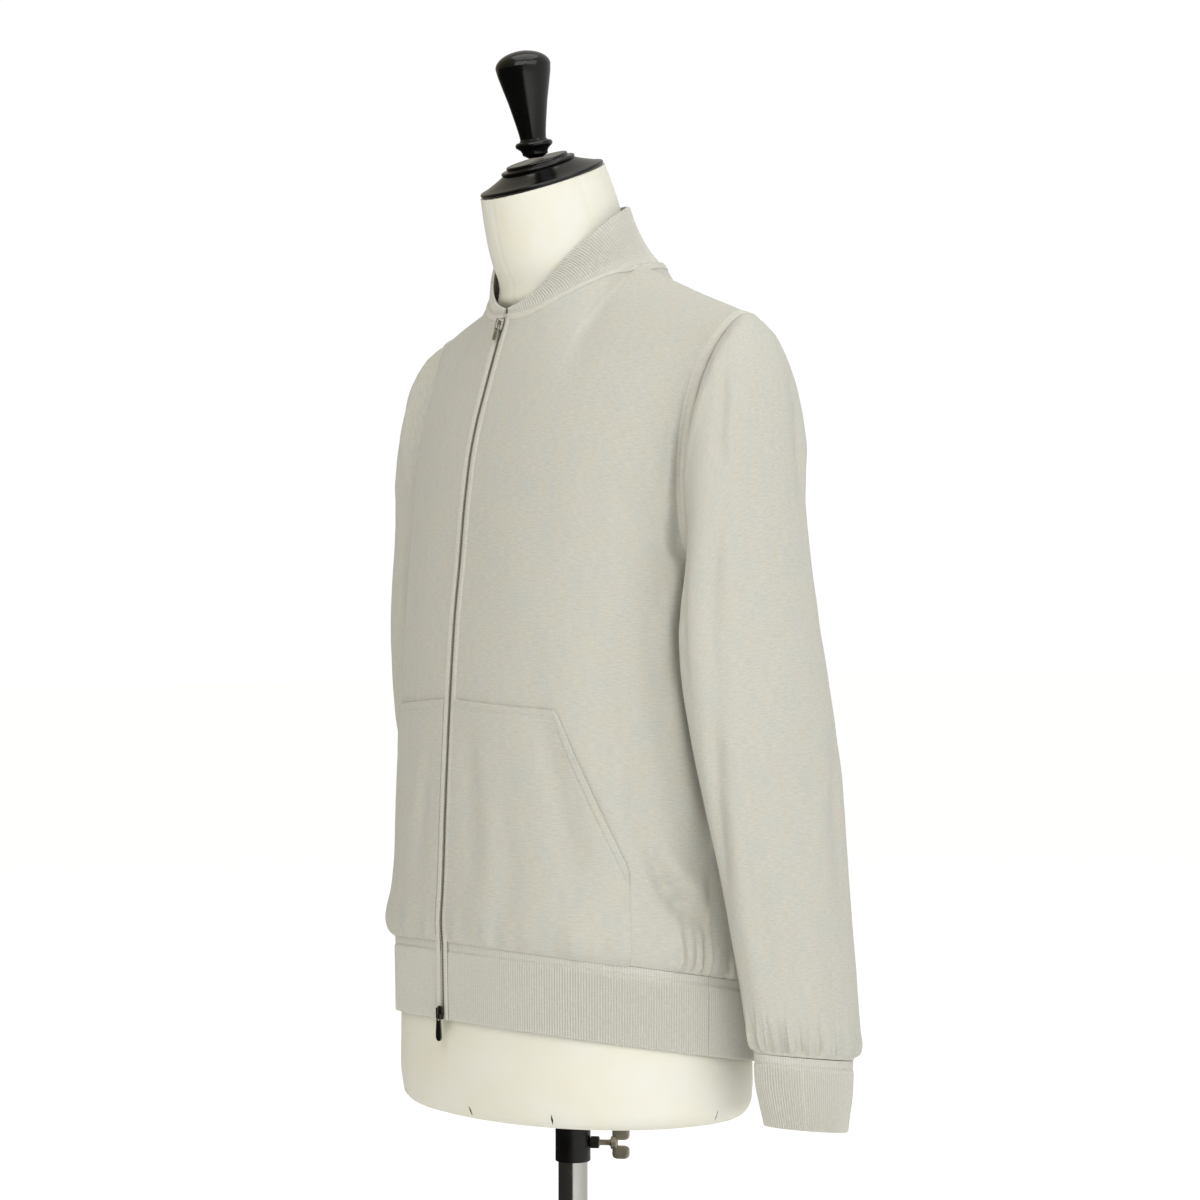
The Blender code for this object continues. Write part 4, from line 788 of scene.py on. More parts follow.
def polished_material(name, colour, metal, rough, coat, wear):
    """Lacquer, enamel or metal: an even gloss, dulled by fine dust and handling marks."""
    made, tree, shader = new_material(
        name, Base_Color=colour, Metallic=metal, Coat_Weight=coat, Coat_Roughness=0.06,
        Specular_IOR_Level=0.35,
    )
    place = add(tree, "TexCoord", out="Object")
    dust, rub = (
        add(tree, "TexNoise", {"Vector": place, "Scale": scale, "Detail": detail})
        for scale, detail in ((90.0, 5.0), (900.0, 2.0))
    )
    marks = add(tree, "Math", [rub, 0.4, dust], operation="MULTIPLY_ADD")
    dull = add(tree, "MapRange", [marks, 0.5, 1.0, rough, rough + wear])
    bump = add(tree, "Bump", {"Height": rub, "Strength": 0.04, "Distance": 0.0001})
    feed(tree, shader, {"Roughness": dull, "Normal": bump})
    return made


def plain_cloth_material(name, colour, rough):
    """Sewing thread or zip tape: matte twisted yarn with a slight change of tone."""
    made, tree, shader = new_material(name, Roughness=rough, Sheen_Weight=0.15)
    place = add(tree, "TexCoord", out="Object")
    noise = add(tree, "TexNoise", {"Vector": place, "Scale": 420.0, "Detail": 2.0})
    tone = toned(tree, colour, (darker(colour, 0.78), noise, 0.35, 0.7, 0.0, 0.6))
    bump = add(tree, "Bump", {"Height": noise, "Strength": 0.2, "Distance": 0.0002})
    feed(tree, shader, {"Base Color": tone, "Normal": bump})
    return made


# Each finish's maker, its colours, and the maker's other values in their order.
FINISHES = {
    # Wales 1.5 mm apart stand for the real 0.8 mm ones, which are too fine to show.
    # For the knits the last value is the painted shade between wales; the rib's lines up with its
    # ribs.
    "jersey_knit": (knit_material, "knit knit_cool knit_warm", (1.5, 1.2, 0.22, 0.06)),
    "cotton_rib": (knit_material, "rib rib rib", (None, 1.2, 0.15, 0.75)),
    "knit_tape": (knit_material, "tape tape tape", (1.0, 1.6, 0.30, 0.2)),
    "sewing_thread": (plain_cloth_material, "thread", (0.8,)),
    "zip_tape": (plain_cloth_material, "zip_tape", (0.85,)),
    "linen_canvas": (canvas_material, "canvas", ()),
    # Turned wood under black lacquer: deep gloss with a clear coat.
    "black_lacquer": (polished_material, "lacquer", (0.0, 0.14, 0.2, 0.10)),
    # Cast metal under black enamel: a little softer than the lacquer.
    "black_enamel": (polished_material, "lacquer", (0.0, 0.32, 0.0, 0.15)),
    # Chromed steel tube: bright, with faint rubbing.
    "chrome_plate": (polished_material, "chrome", (1.0, 0.07, 0.0, 0.12)),
    # Nickel-plated zinc of sliders and pulls.
    "bright_nickel": (polished_material, "nickel", (1.0, 0.18, 0.0, 0.15)),
    # Nickel plating of the wing screw: dull, and darker and yellower than the sliders'.
    "worn_nickel": (polished_material, "worn", (1.0, 0.30, 0.0, 0.25)),
    # Nickel of the lower slider and its drop-shaped pull, the same plating as the upper one,
    # painted darker: a painted dark reflection.
    "smoked_nickel": (polished_material, "smoked", (1.0, 0.12, 0.0, 0.10)),
    # Oxidised brass teeth, dark in the slot.
    "dark_nickel": (polished_material, "teeth", (1.0, 0.32, 0.0, 0.2)),
}


def finish_named(name):
    """The material of this name, made from the panel's colours at its first use."""
    found = bpy.data.materials.get(name)
    if found:
        return found
    maker, tones, values = FINISHES[name]
    colours = [getattr(bpy.context.scene.jacket_colours, key)[:] for key in tones.split()]
    return maker(name, *colours, *values)


# -------- meshes
def linked(name, data):
    """An object in the scene, at the origin."""
    item = bpy.data.objects.new(name, data)
    bpy.context.scene.collection.objects.link(item)
    return item


def add_piece(name, points, faces, finish, body, corners=None, uv=None, smooth_angle=50):
    """An object at the origin that rides on a body; its faces are used as they are given.

    Faces are tuples of point numbers. With uv, corners gives for each face corner the row
    of uv it takes, in the same order.
    """
    mesh = bpy.data.meshes.new(name)
    mesh.from_pydata(points.tolist(), [], faces)
    if uv is not None:
        layer = mesh.uv_layers.new(name="Cloth")
        layer.data.foreach_set("uv", uv[np.concatenate([np.array(f) for f in corners])].ravel())
    mesh.materials.append(finish_named(finish))
    mesh.shade_smooth()
    mesh.set_sharp_from_angle(angle=math.radians(smooth_angle))
    item = linked(name, mesh)
    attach(item, body)
    return item


def quads_of(number):
    """Faces of a grid of numbers, whose normals follow across x up."""
    quads = np.stack([number[:-1, :-1], number[:-1, 1:], number[1:, 1:], number[1:, :-1]], axis=-1)
    return quads.reshape(-1, 4)


def cloth(name, outer, inner, uv, finish, body="form", ring=False, smooth_angle=50):
    """A thin cloth wall between a fine outer grid and a coarser inner one.

    Both grids run across and up so that across x up points out. Their borders share one
    course and are joined by a zigzag. uv, in millimetres, is given for the outer grid, with
    one more column than the points when it is a ring. The inner grid takes every so many
    rows and columns of the outer's uv.
    """
    outer_no = np.arange(outer[..., 0].size).reshape(outer.shape[:2])
    inner_no = outer_no.size + np.arange(inner[..., 0].size).reshape(inner.shape[:2])
    if ring:
        outer_no, inner_no = (np.concatenate([n, n[:, :1]], axis=1) for n in (outer_no, inner_no))
    kept = (picks(*pair) for pair in zip(outer_no.shape, inner_no.shape))
    vertex_of = np.concatenate([outer_no.ravel(), inner_no.ravel()])
    all_uv = np.concatenate([uv.reshape(-1, 2), uv[np.ix_(*kept)].reshape(-1, 2)])
    outside = np.arange(outer_no.size).reshape(outer_no.shape)
    inside = outer_no.size + np.arange(inner_no.size).reshape(inner_no.shape)
    corners = [*quads_of(outside), *quads_of(inside)[:, ::-1]]
    points = np.concatenate([outer.reshape(-1, 3), inner.reshape(-1, 3)]) + FORM_FOOT
    spots = points[vertex_of]
    edges = stitch(spots, inside[0], outside[0]) + stitch(spots, outside[-1], inside[-1])
    if not ring:
        edges += stitch(spots, outside[:, 0], inside[:, 0])
        edges += stitch(spots, inside[:, -1], outside[:, -1])
    corners += [np.array(f) for f in edges]
    faces = [tuple(vertex_of[f].tolist()) for f in corners]
    return add_piece(name, points, faces, finish, body, corners, all_uv, smooth_angle)


# For each knit finish, the ending of its pieces' names and their slot.
CLOTHS = {
    "jersey_knit": ("_cloth", "knit"),
    "cotton_rib": ("_knit", "rib_knit"),
    "knit_tape": ("_knit", "tape_knit"),
}


def cloth_for(node, side, outer, inner, uv, finish, **kind):
    """The cloth wall that replaces a node, mirrored for the wearer's right side."""
    ending, slot = CLOTHS[finish]
    if side == "right":
        outer, inner, uv = mirrored(outer)[:, ::-1], mirrored(inner)[:, ::-1], uv[:, ::-1]
    item = cloth(node + ending, outer, inner, uv, finish, **kind)
    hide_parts(node)
    return item


def uv_grid(rows, across):
    """A uv in millimetres for each point, from distances up and across, in metres."""
    across = np.broadcast_to(across, (len(rows), np.shape(across)[-1]))
    up = np.broadcast_to(np.reshape(rows, (-1, 1)), across.shape)
    return np.stack([across, up], axis=-1) * 1000


def normals_of(grid, ring=False):
    """Unit normals of a grid, across x up."""
    across = np.gradient(grid, axis=1)
    if ring:
        across = (np.roll(grid, -1, axis=1) - np.roll(grid, 1, axis=1)) / 2
    return unit(np.cross(across, np.gradient(grid, axis=0)))


def spaced(start, end, pitch):
    """Even places from start to end, about a pitch apart."""
    return np.linspace(start, end, max(2, round((end - start) / pitch) + 1))


def hollows(places, creases, size):
    """Relief of soft creases, in metres, at places (across, up) on the flat cloth.

    Along a crease t runs from 0 to 1 and it fades as sin(pi t). Across it lies a trough
    exp(-(d / w)^2) with a lower, wider ridge beside it; d is bent by bow * 4 t (1 - t).
    """
    relief = np.zeros(places.shape[:-1])
    for k, crease in enumerate(zip(*creases.values())):
        x, y, end_x, end_y, bow, width, depth, lean = crease
        start = np.array([x * size, y])
        way = np.array([end_x * size, end_y]) - start
        long = np.linalg.norm(way)
        way = way / long
        off = places - start
        t = np.clip((off @ way) / long, 0, 1)
        d = off @ np.array([-way[1], way[0]]) - bow * 4 * t * (1 - t)
        wide = width * (0.75 + 0.5 * t)
        side = lean * 1.6 * wide
        fade = np.sin(math.pi * t) ** 1.2 * (1 + 0.18 * waves(t, k + 1.0, 0.3))
        trough = np.exp(-((d / wide) ** 2)) - 0.55 * np.exp(-(((d - side) / (1.3 * wide)) ** 2))
        relief -= depth * fade * trough
    return relief


# -------- the body's panels
class ClothPanel:
    """A panel of the body: a cubic surface through its coarse rows, and its creases.

    A place on it is (rise, share): metres up its middle from the hem seam, and the share
    of the way from the middle to the side seam, or from -1 to 1 over the whole back.
    """

    def __init__(self, grid, creases, corners):
        grid = np.delete(grid, len(BLOUSE["rise"]) - 1, axis=0)   # it meets the next row
        across, is_half = mean_run(grid, 1), len(corners) == 1
        self.size = across[-1] if is_half else across[-1] / 2
        self.shares = across / self.size - (0.0 if is_half else 1.0)
        self.rises = mean_run(grid, 0)
        self.top = self.rises[-1]
        self.grid, self.creases, self.corners = grid, creases, corners

    def split(self, shares, rows):
        """Columns between the neck's corners, each stretch a cubic of its own."""
        cuts = [0, *self.corners, len(self.shares) - 1]
        result = np.empty((len(shares),) + rows.shape[1:])
        for low, high in zip(cuts[:-1], cuts[1:]):
            knots = self.shares[low : high + 1]
            here = (shares >= knots[0] - 1e-9) & (shares <= knots[-1] + 1e-9)
            result[here] = smooth(shares[here], knots, rows[low : high + 1])
        return result

    def base(self, rises, shares):
        """Points of the uncreased surface."""
        rows = smooth(rises, self.rises, self.grid).swapaxes(0, 1)
        whole = smooth(shares, self.shares, rows)
        blend = step(self.top - 0.05, self.top - 0.008, rises)[None, :, None]
        return (whole * (1 - blend) + self.split(shares, rows) * blend).swapaxes(0, 1)

    def normals(self, rises, shares):
        """Unit normals by differences over half a millimetre."""
        near = 0.0005
        up = self.base(np.minimum(rises + near, self.top), shares)
        up = up - self.base(np.maximum(rises - near, 0), shares)
        turn = near / self.size
        across = self.base(rises, np.minimum(shares + turn, self.shares[-1]))
        across = across - self.base(rises, np.maximum(shares - turn, self.shares[0]))
        return unit(np.cross(across, up))

    def relief(self, base, rises, shares):
        """Creases, uneven puckers along the hem seam, and a slow unevenness of the cloth."""
        flat, height = np.broadcast_to(shares * self.size, base.shape[:2]), base[..., 2]
        relief = hollows(np.stack([flat, height], axis=-1), self.creases, self.size)
        rise = rises[:, None]
        side = step(0.72, 0.95, np.abs(shares))[None, :]
        pucker = 0.0010 * waves(flat, 1.3, 0.026) + side * 0.0016 * waves(flat, 2.1, 0.013)
        relief += pucker * np.exp(-((rise / 0.022) ** 2))
        slow = 0.0005 * waves(flat + 0.3 * height, 0.7, 0.11)
        relief += slow * waves(height, 4.0, 0.23)
        edges = step(0.0, 0.06, np.abs(shares)) if self.shares[0] == 0 else 1.0
        edges = edges * step(0.0, 0.03, self.shares[-1] - np.abs(shares))
        ends = step(0.0, 0.02, self.top - rise)
        return relief * edges[None, :] * ends * step(-0.001, 0.005, rise)

    def laid(self, rises, shares):
        """Points of the creased cloth."""
        base = self.base(rises, shares)
        return base + self.normals(rises, shares) * self.relief(base, rises, shares)[..., None]


PANELS = {}


def body_panels():
    """The three panels of the body, made once."""
    if not PANELS:
        front, wide = panel(True), both_halves(panel(False))
        middle = wide.shape[1] // 2
        corners = [middle - NECK_COLUMNS, middle + NECK_COLUMNS]
        PANELS["front_left"] = ClothPanel(front, FRONT_CREASES, [NECK_COLUMNS])
        PANELS["front_right"] = ClothPanel(front, RIGHT_CREASES, [NECK_COLUMNS])
        PANELS["back"] = ClothPanel(wide, BACK_CREASES, corners)
    return PANELS


def row_places(top):
    """Rises of the rows of a panel: close together in the blouse, wider above it."""
    half = SEAM / 2
    low = spaced(half, BLOUSE_TOP, 0.0015)
    return np.concatenate([low[:-1], spaced(BLOUSE_TOP, top - half, 0.0032)])


def panel_cloth(name, panel_):
    """One panel of the body as a cloth wall."""
    rises = row_places(panel_.top)
    edge = SEAM / 2 / panel_.size
    low = panel_.shares[0] + (edge if panel_.shares[0] < 0 else 0.0)
    shares = spaced(low, panel_.shares[-1] - edge, 0.0024 / panel_.size)
    base, normals = panel_.base(rises, shares), panel_.normals(rises, shares)
    relief = panel_.relief(base, rises, shares)[..., None]
    kept = (picks(count, count // 3) for count in (len(rises), len(shares)))
    inner = (base + normals * (relief - THIN))[np.ix_(*kept)]
    uv = uv_grid(rises, shares * panel_.size)
    cloth_for(name, name.split("_")[-1], base + normals * relief, inner, uv, "jersey_knit")


# -------- sleeves
def sleeve_base(creases):
    """A sleeve's fine rings from the armhole to the cuff, their normals, uv and relief.

    Coarse rings are joined by cubics along the sleeve and round it.
    """
    coarse = sleeve_grid()
    coarse[0] += (coarse[1] - coarse[0]) * 0.004
    count = coarse.shape[1]
    knots = mean_run(coarse, 0)
    total = knots[-1]
    fine = total - 0.05    # the rows stand closer from here to the cuff
    downs = np.concatenate([spaced(0, fine, 0.0034)[:-1], spaced(fine, total, 0.002)])
    around = np.linspace(0, count, 168, endpoint=False)
    padded = np.concatenate([coarse[:, -3:], coarse, coarse[:, :3]], axis=1)
    rows = smooth(downs, knots, padded).swapaxes(0, 1)
    rings = smooth(around, np.arange(-3, count + 3), rows).swapaxes(0, 1)
    turn = around / count * 360
    turn = np.where(turn > 180, turn - 360, turn)
    flat = np.broadcast_to(turn * SLEEVE_GIRTH / 360, rings.shape[:2])
    height = rings[..., 2]
    relief = hollows(np.stack([flat, height], axis=-1), creases, SLEEVE_GIRTH / 360)
    below, down = (total - downs)[:, None], downs[:, None]
    front = 0.45 + 0.55 * np.exp(-(((turn - 50) / 38) ** 2))[None, :]
    puckers = waves(flat, 2.6, 0.010) + 0.7 * waves(flat, 0.9, 0.021)
    relief += 0.0034 * front * puckers * np.exp(-((below / 0.026) ** 2)) * step(0, 0.005, below)
    easing = 0.0004 * waves(flat, 5.1, 0.021) * np.exp(-((down / 0.030) ** 2))
    relief += easing * step(0, 0.006, down)
    relief += 0.0006 * waves(height, 3.0, 0.19) * np.cos(np.radians(2 * turn + 40))[None, :]
    under = np.abs(np.abs(turn) - 172) * SLEEVE_GIRTH / 360    # the sleeve's own seam
    relief -= 0.0006 * np.exp(-((under / 0.0012) ** 2))[None, :]
    relief *= step(0, 0.012, down) * step(0, 0.006, below)
    uv = uv_grid(total - downs, np.append(around, count) / count * SLEEVE_GIRTH)
    return rings, normals_of(rings, ring=True), relief[..., None], uv


def make_sleeve(side, creases):
    """One sleeve, gathered into its cuff."""
    base, normals, relief, uv = sleeve_base(creases)
    base[-1, :, 2] -= 2 * SEAM
    inner = (base + normals * (relief - THIN))[picks(len(base), len(base) // 3)][:, ::3]
    outer = base + normals * relief
    cloth_for("sleeve_" + side, side, outer, inner, uv, "jersey_knit", ring=True)


# -------- ribbed trims
def rib_relief(phase, depth, total, plain):
    """Height of a rib knit: a crest once for each phase, low and even in the plain band.

    depth is the distance from the seam and total the rib's whole depth: a cover-stitched
    groove closes the band, and the last millimetre rolls in to the fold.
    """
    crest = 0.5 - 0.5 * np.cos(2 * math.pi * phase)
    share = np.where(depth < plain, 0.30, 0.30 + 0.70 * step(plain, plain + 0.003, depth))
    groove = 0.0005 * np.exp(-(((depth - plain) / 0.0009) ** 2)) if plain else 0.0
    left = np.clip((total - depth) / 0.0014, 0, 1)
    roll = 0.0012 * (1 - np.sqrt(1 - (1 - left) ** 2))
    return sizes().rib_rise * crest * share - groove - roll


def rib_rows(total, plain):
    """Distances from the seam of a rib's rows: close at the band's groove and at the fold."""
    cuts = [0.0, 0.002, 0.0045]
    if plain:
        cuts += [plain - 0.0012, plain - 0.0006, plain, plain + 0.0007, plain + 0.0015]
    start = max(cuts) + 0.002
    cuts += list(spaced(start, total - 0.004, 0.006))
    return np.array(cuts + [total - 0.0022, total - 0.0012, total - 0.0006, total - 0.0002, total])


def rib_wall(name, base, normals, depth, total, plain, ribs, ring=False, side="left"):
    """A ribbed trim: rows of base points, moved out by the ribs' relief; four columns a rib."""
    count = base.shape[1]
    depth = np.broadcast_to(depth, base.shape[:2])
    phase = np.arange(count) / (count if ring else count - 1) * ribs
    outer = base + normals * rib_relief(phase, depth, total, plain)[..., None]
    inner = (base - normals * RIB_THIN)[picks(len(base), 5)]
    inner = inner[:, ::4] if ring else inner[:, every(count, 4)]
    across = (np.append(phase, ribs) if ring else phase) * sizes().rib_pitch
    uv = uv_grid(-depth[:, depth.shape[1] // 2], across)
    cloth_for(name, side, outer, inner, uv, "cotton_rib", ring=ring, smooth_angle=70)


def hem_base(is_front, depths, count):
    """Rows of a quarter of the hem, from the zip or the back to the side, and level normals."""
    turn = quarter(is_front, 320)
    rows = []
    for depth in depths:
        row = start_at_zip(hem_edge(turn, depth + SEAM / 2), is_front)
        end = SEAM / 2 if depth < RIB_HEIGHT else 0.0
        rows.append(along(row, np.linspace(0, length_of(row) - end, count)))
    rows = np.array(rows)
    normals = level_normals(np.gradient(rows, axis=1), rows)
    normals[:, 0, 0] = 0.0
    normals[:, -1, 1] = 0.0
    return rows, unit(normals)


def level_normals(tangent, out):
    """Level directions square to the tangents, on the side that out points to."""
    x, y = tangent[..., 0], tangent[..., 1]
    return facing(np.stack([y, -x, 0 * x], axis=-1), out)


def make_hem():
    """The ribbed hem in three pieces, joined at the sides."""
    total = RIB_HEIGHT - SEAM
    depths = rib_rows(total, HEM_BAND)[::-1]
    ribs = round(length_of(hem_edge(quarter(True, 90), 0.03)) / sizes().rib_pitch)
    for name, side in (("hem_rib_left", "left"), ("hem_rib_right", "right"), ("hem_rib_back", "")):
        base, normals = hem_base(side != "", depths, 4 * ribs + 1)
        if not side:
            base, normals = both_halves(base), both_halves(normals)
        count = ribs if side else 2 * ribs
        rib_wall(name, base, normals, depths[:, None], total, HEM_BAND, count, side=side)


def cuff_base(depths, count):
    """Even points round each ring of a cuff, from its seam down, with level normals."""
    turn = np.linspace(0, 2 * math.pi, 241)
    rings = []
    for height in CUFF["height"][0] - SEAM - depths:
        outer, inner, middle, half = (
            np.interp(-height, -CUFF["height"], CUFF[k])
            for k in ("outer_x", "inner_x", "mid_y", "half_depth")
        )
        ends = np.array([[outer, 0, height], [inner, 0, height]])
        ring = lean_down(oval(*ends, middle, half, turn), middle, 1.0)
        rings.append(along(ring, np.linspace(0, length_of(ring), count, endpoint=False)))
    rings = np.array(rings)
    tangent = np.roll(rings, -1, axis=1) - np.roll(rings, 1, axis=1)
    return rings, unit(level_normals(tangent, rings - rings.mean(axis=1, keepdims=True)))


def make_cuff(side):
    """A ribbed cuff with its seam: a rib drawn in, a little to the front of the outer edge."""
    total = CUFF["height"][0] - SEAM
    depths = rib_rows(total, HEM_BAND)
    ribs = round(2 * math.pi * CUFF_RADIUS / sizes().rib_pitch)
    base, normals = cuff_base(depths, 4 * ribs)
    around = np.arange(4 * ribs) / (4 * ribs)
    seam = np.exp(-(((around - CUFF_SEAM) * CUFF_GIRTH / 0.0010) ** 2))
    base = base - normals * (0.0006 * seam)[None, :, None]
    rest = (depths[:, None], total, HEM_BAND, ribs)
    rib_wall("cuff_" + side, base, normals, *rest, ring=True, side=side)


def neck_line(steps):
    """Even points of the neck edge from the left of the zip round to its right.

    Gives them with the level directions away from the neck, the turns from the zip, and
    the directions in which the cloth falls from them.
    """
    falls = []
    for name in ("front_left", "back"):
        panel_ = body_panels()[name]
        ends = (0, panel_.shares[NECK_COLUMNS])
        if name == "back":
            ends = (panel_.shares[panel_.corners[0]], 0)
        top, low = panel_.base(panel_.top - np.array([SEAM / 2, 0.004]), np.linspace(*ends, 60))
        falls.append(mirrored(unit(low - top)) if name == "back" else unit(low - top))
    falls[0][-1] = unit(falls[0][-1] + falls[1][0])
    fall = eased(np.concatenate([falls[0], falls[1][1:]]), 30)
    start = math.degrees(math.asin(ZIP_HALF / NECK_HALF))
    turns = np.linspace(start, NECK_POINT_TURN, 60), np.linspace(NECK_POINT_TURN, 180, 60)[1:]
    line = neckline(np.concatenate(turns)) - np.array([0.0, 0.0, SEAM / 2])
    even = np.linspace(0, length_of(line), steps + 1)
    half, fall = along(line, even), read_at(even, run_of(line), fall)
    line = np.concatenate([half, mirrored(half)[-2::-1]])
    fall = unit(np.concatenate([fall, mirrored(fall)[-2::-1]]))
    away = unit((line - np.array([0.0, NECK_MID_Y, 0.0])) * np.array([1, 1, 0]))
    away[[0, -1], 0] = 0.0
    turn = np.degrees(np.arctan2(np.abs(line[:, 0]), NECK_MID_Y - line[:, 1]))
    return line, unit(away), turn, fall


def make_collar():
    """The ribbed stand collar, low at the zip and leaning in over the neck behind.

    Its ribs lean towards the zip in front, since they stand square to its upper edge: a
    row's places are moved towards the zip by a share of the height, less and less behind.
    """
    half_ribs = round(0.215 / sizes().rib_pitch)
    steps = 4 * half_ribs
    line, away, turn, _ = neck_line(steps)
    height, lean = (smooth(turn, COLLAR["turn"], COLLAR[k]) for k in ("height", "lean_in"))
    run = run_of(line[: steps + 1])
    both = np.append(run, run[-2::-1])
    shear = 0.75 * (1 - step(60, 170, turn)) * (1 - np.exp(-both / 0.03)) * height
    parts = [0, 0.04, 0.10, 0.18, 0.28, 0.4, 0.52, 0.64, 0.76, 0.86, 0.93, 0.965, 0.985, 1]
    rows, normals, depths = [], [], []
    given = np.concatenate([line, away, height[:, None], lean[:, None]], axis=1)
    for part in parts:
        moved = run - shear[: steps + 1] * part
        at = np.interp(moved, run, np.arange(steps + 1.0))
        at = np.append(at, 2 * steps - at[-2::-1])
        here = read_at(at, np.arange(2 * steps + 1.0), given)
        spot, out, tall, tilt = here[:, :3], here[:, 3:6], here[:, 6], here[:, 7:]
        rise = tall * part + SEAM - 0.0015 * (1 - part) ** 6
        rows.append(spot - out * tilt * part**0.65 + rise[:, None] * np.array([0.0, 0.0, 1.0]))
        normals.append(out)
        depths.append(tall * part)
    rows, normals, depths = np.array(rows), unit(np.array(normals)), np.array(depths)
    rib_wall("collar", rows, normals, depths, height[None], 0.0, 2 * half_ribs)


# -------- tapes, pockets and stitches
def rounded(share, flat=6):
    """Cross-section of a sewn tape: 1 in its middle, falling round to 0 at both edges."""
    return np.sqrt(np.clip(1 - np.abs(2 * share - 1) ** flat, 0, 1))


def make_tape(name, grid, normals, uv, side="left", across_rows=False):
    """A sewn tape from a grid on the cloth: a rounded top over a flat underside.

    Its width runs across the columns, or across the rows.
    """
    share = np.linspace(0, 1, grid.shape[0 if across_rows else 1])
    lift = TAPE_LIFT + 0.0002 + TAPE_THICK * rounded(share)
    lift = lift[:, None, None] if across_rows else lift[None, :, None]
    rows, cols = grid.shape[:2]
    kept = (3, cols // 2) if across_rows else (rows // 2, 3)
    inner = (grid + normals * TAPE_LIFT)[np.ix_(picks(rows, kept[0]), picks(cols, kept[1]))]
    cloth_for(name, side, grid + normals * lift, inner, uv, "knit_tape", smooth_angle=60)


def arm_band_grid(side):
    """The strip of a front and the back along the armhole, as for the wearer's left."""
    front, back = body_panels()["front_" + side], body_panels()["back"]
    low = len(BLOUSE["rise"])
    edge = 1 - ARM_BAND_SET_IN / front.size
    rises = spaced(front.rises[low], front.top - SEAM, 0.004)
    strip = front.laid(rises, np.linspace(front.shares[-2], edge, 7))
    rises = spaced(back.rises[low], back.top - 0.0015, 0.004)[::-1]
    sign = 1 if side == "right" else -1
    rear = back.laid(rises, sign * np.linspace(back.shares[-2], edge, 7))
    return np.concatenate([strip, mirrored(rear) if side == "right" else rear])


def make_arm_bands():
    """The pale cover-stitched tapes along both armhole seams."""
    for side in ("left", "right"):
        grid = arm_band_grid(side)
        normals = eased(normals_of(grid), 3)
        uv = uv_grid(run_of(grid[:, 3]), np.linspace(0, ARM_BAND_WIDTH, 7))
        make_tape("armhole_band_" + side, grid, normals, uv, side)
        for share in (1, 5):
            keep_stitches("tape", grid[:, share], normals[:, share], TOP_OF_TAPE, side)


def body_tree():
    """A search tree over the creased fronts and back."""
    points, faces, start = [], [], 0
    for name, panel_ in body_panels().items():
        low = -1.0 if name == "back" else 0.0
        rises = spaced(panel_.top - 0.10, panel_.top, 0.003)
        shares = spaced(low, 1.0, 0.006 / panel_.size)
        grid = panel_.laid(rises, shares)
        grid = mirrored(grid) if name == "front_right" else grid
        number = start + np.arange(grid[..., 0].size).reshape(grid.shape[:2])
        points.append(grid.reshape(-1, 3))
        faces += quads_of(number).tolist()
        start += number.size
    return BVHTree.FromPolygons(np.concatenate(points).tolist(), faces)


def make_neck_band():
    """The pale tape below the collar; its rows lie at distances down the cloth."""
    tree = body_tree()
    line, away, _, fall = neck_line(84)
    grid = np.array([
        [tree.find_nearest(Vector(p))[0] for p in line + fall * reach]
        for reach in np.linspace(NECK_BAND_WIDTH, NECK_BAND_UPPER, 7)
    ])
    middle = eased(facing(normals_of(grid), away)[3], 6)
    middle[[0, -1], 0] = 0.0
    normals = np.array([unit(middle)] * len(grid))
    for _ in range(2):
        grid[:, 1:-1] = (grid[:, :-2] + 2 * grid[:, 1:-1] + grid[:, 2:]) / 4
    edge = ZIP_HALF + PLACKET_WIDTH + 3 * SEAM
    grid[:, 0, 0], grid[:, -1, 0] = edge, -edge
    uv = uv_grid(np.linspace(0, NECK_BAND_WIDTH, 7), run_of(grid[3]))
    make_tape("neck_band", grid, normals, uv, across_rows=True)
    for row in (1, 5):
        keep_stitches("tape", grid[row], normals[row], TOP_OF_TAPE)


def hem_at_zip(depths):
    """Points of the hem's rib at the zip, at these distances below its seam."""
    return hem_base(True, depths, 5)[0][:, 0]


def placket_grid(side):
    """The strip beside the zip, from the hem's fold to the neckline, and its normals."""
    front = body_panels()["front_" + side]
    depths = np.linspace(RIB_HEIGHT - SEAM, 0.001, 22)
    across = np.linspace(0, PLACKET_WIDTH, 6)
    low = hem_at_zip(depths)[:, None] + across[None, :, None] * np.array([1.0, 0.0, 0.0])
    rises, shares = spaced(0.002, front.top - 0.0012, 0.004), across / front.size
    grid = np.concatenate([low, front.laid(rises, shares)])
    level = np.tile(np.array([0.0, -1.0, 0.0]), (len(low), 6, 1))
    normals = np.concatenate([level, front.normals(rises, shares)])
    normals[..., 0] *= 0.3
    normals = unit(normals)
    rise = np.concatenate([-depths, rises])[:, None, None]
    return grid + normals * (sizes().rib_rise + 0.0003) * step(0.012, 0.0, rise), normals


def make_plackets():
    """The pale strips beside the zip."""
    for side in ("left", "right"):
        grid, normals = placket_grid(side)
        uv = uv_grid(np.linspace(0, 0.6, len(grid)), np.linspace(0, PLACKET_WIDTH, 6))
        make_tape("placket_" + side, grid, normals, uv, side)
        keep_stitches("tape", grid[:, 4], normals[:, 4], TOP_OF_TAPE, side)


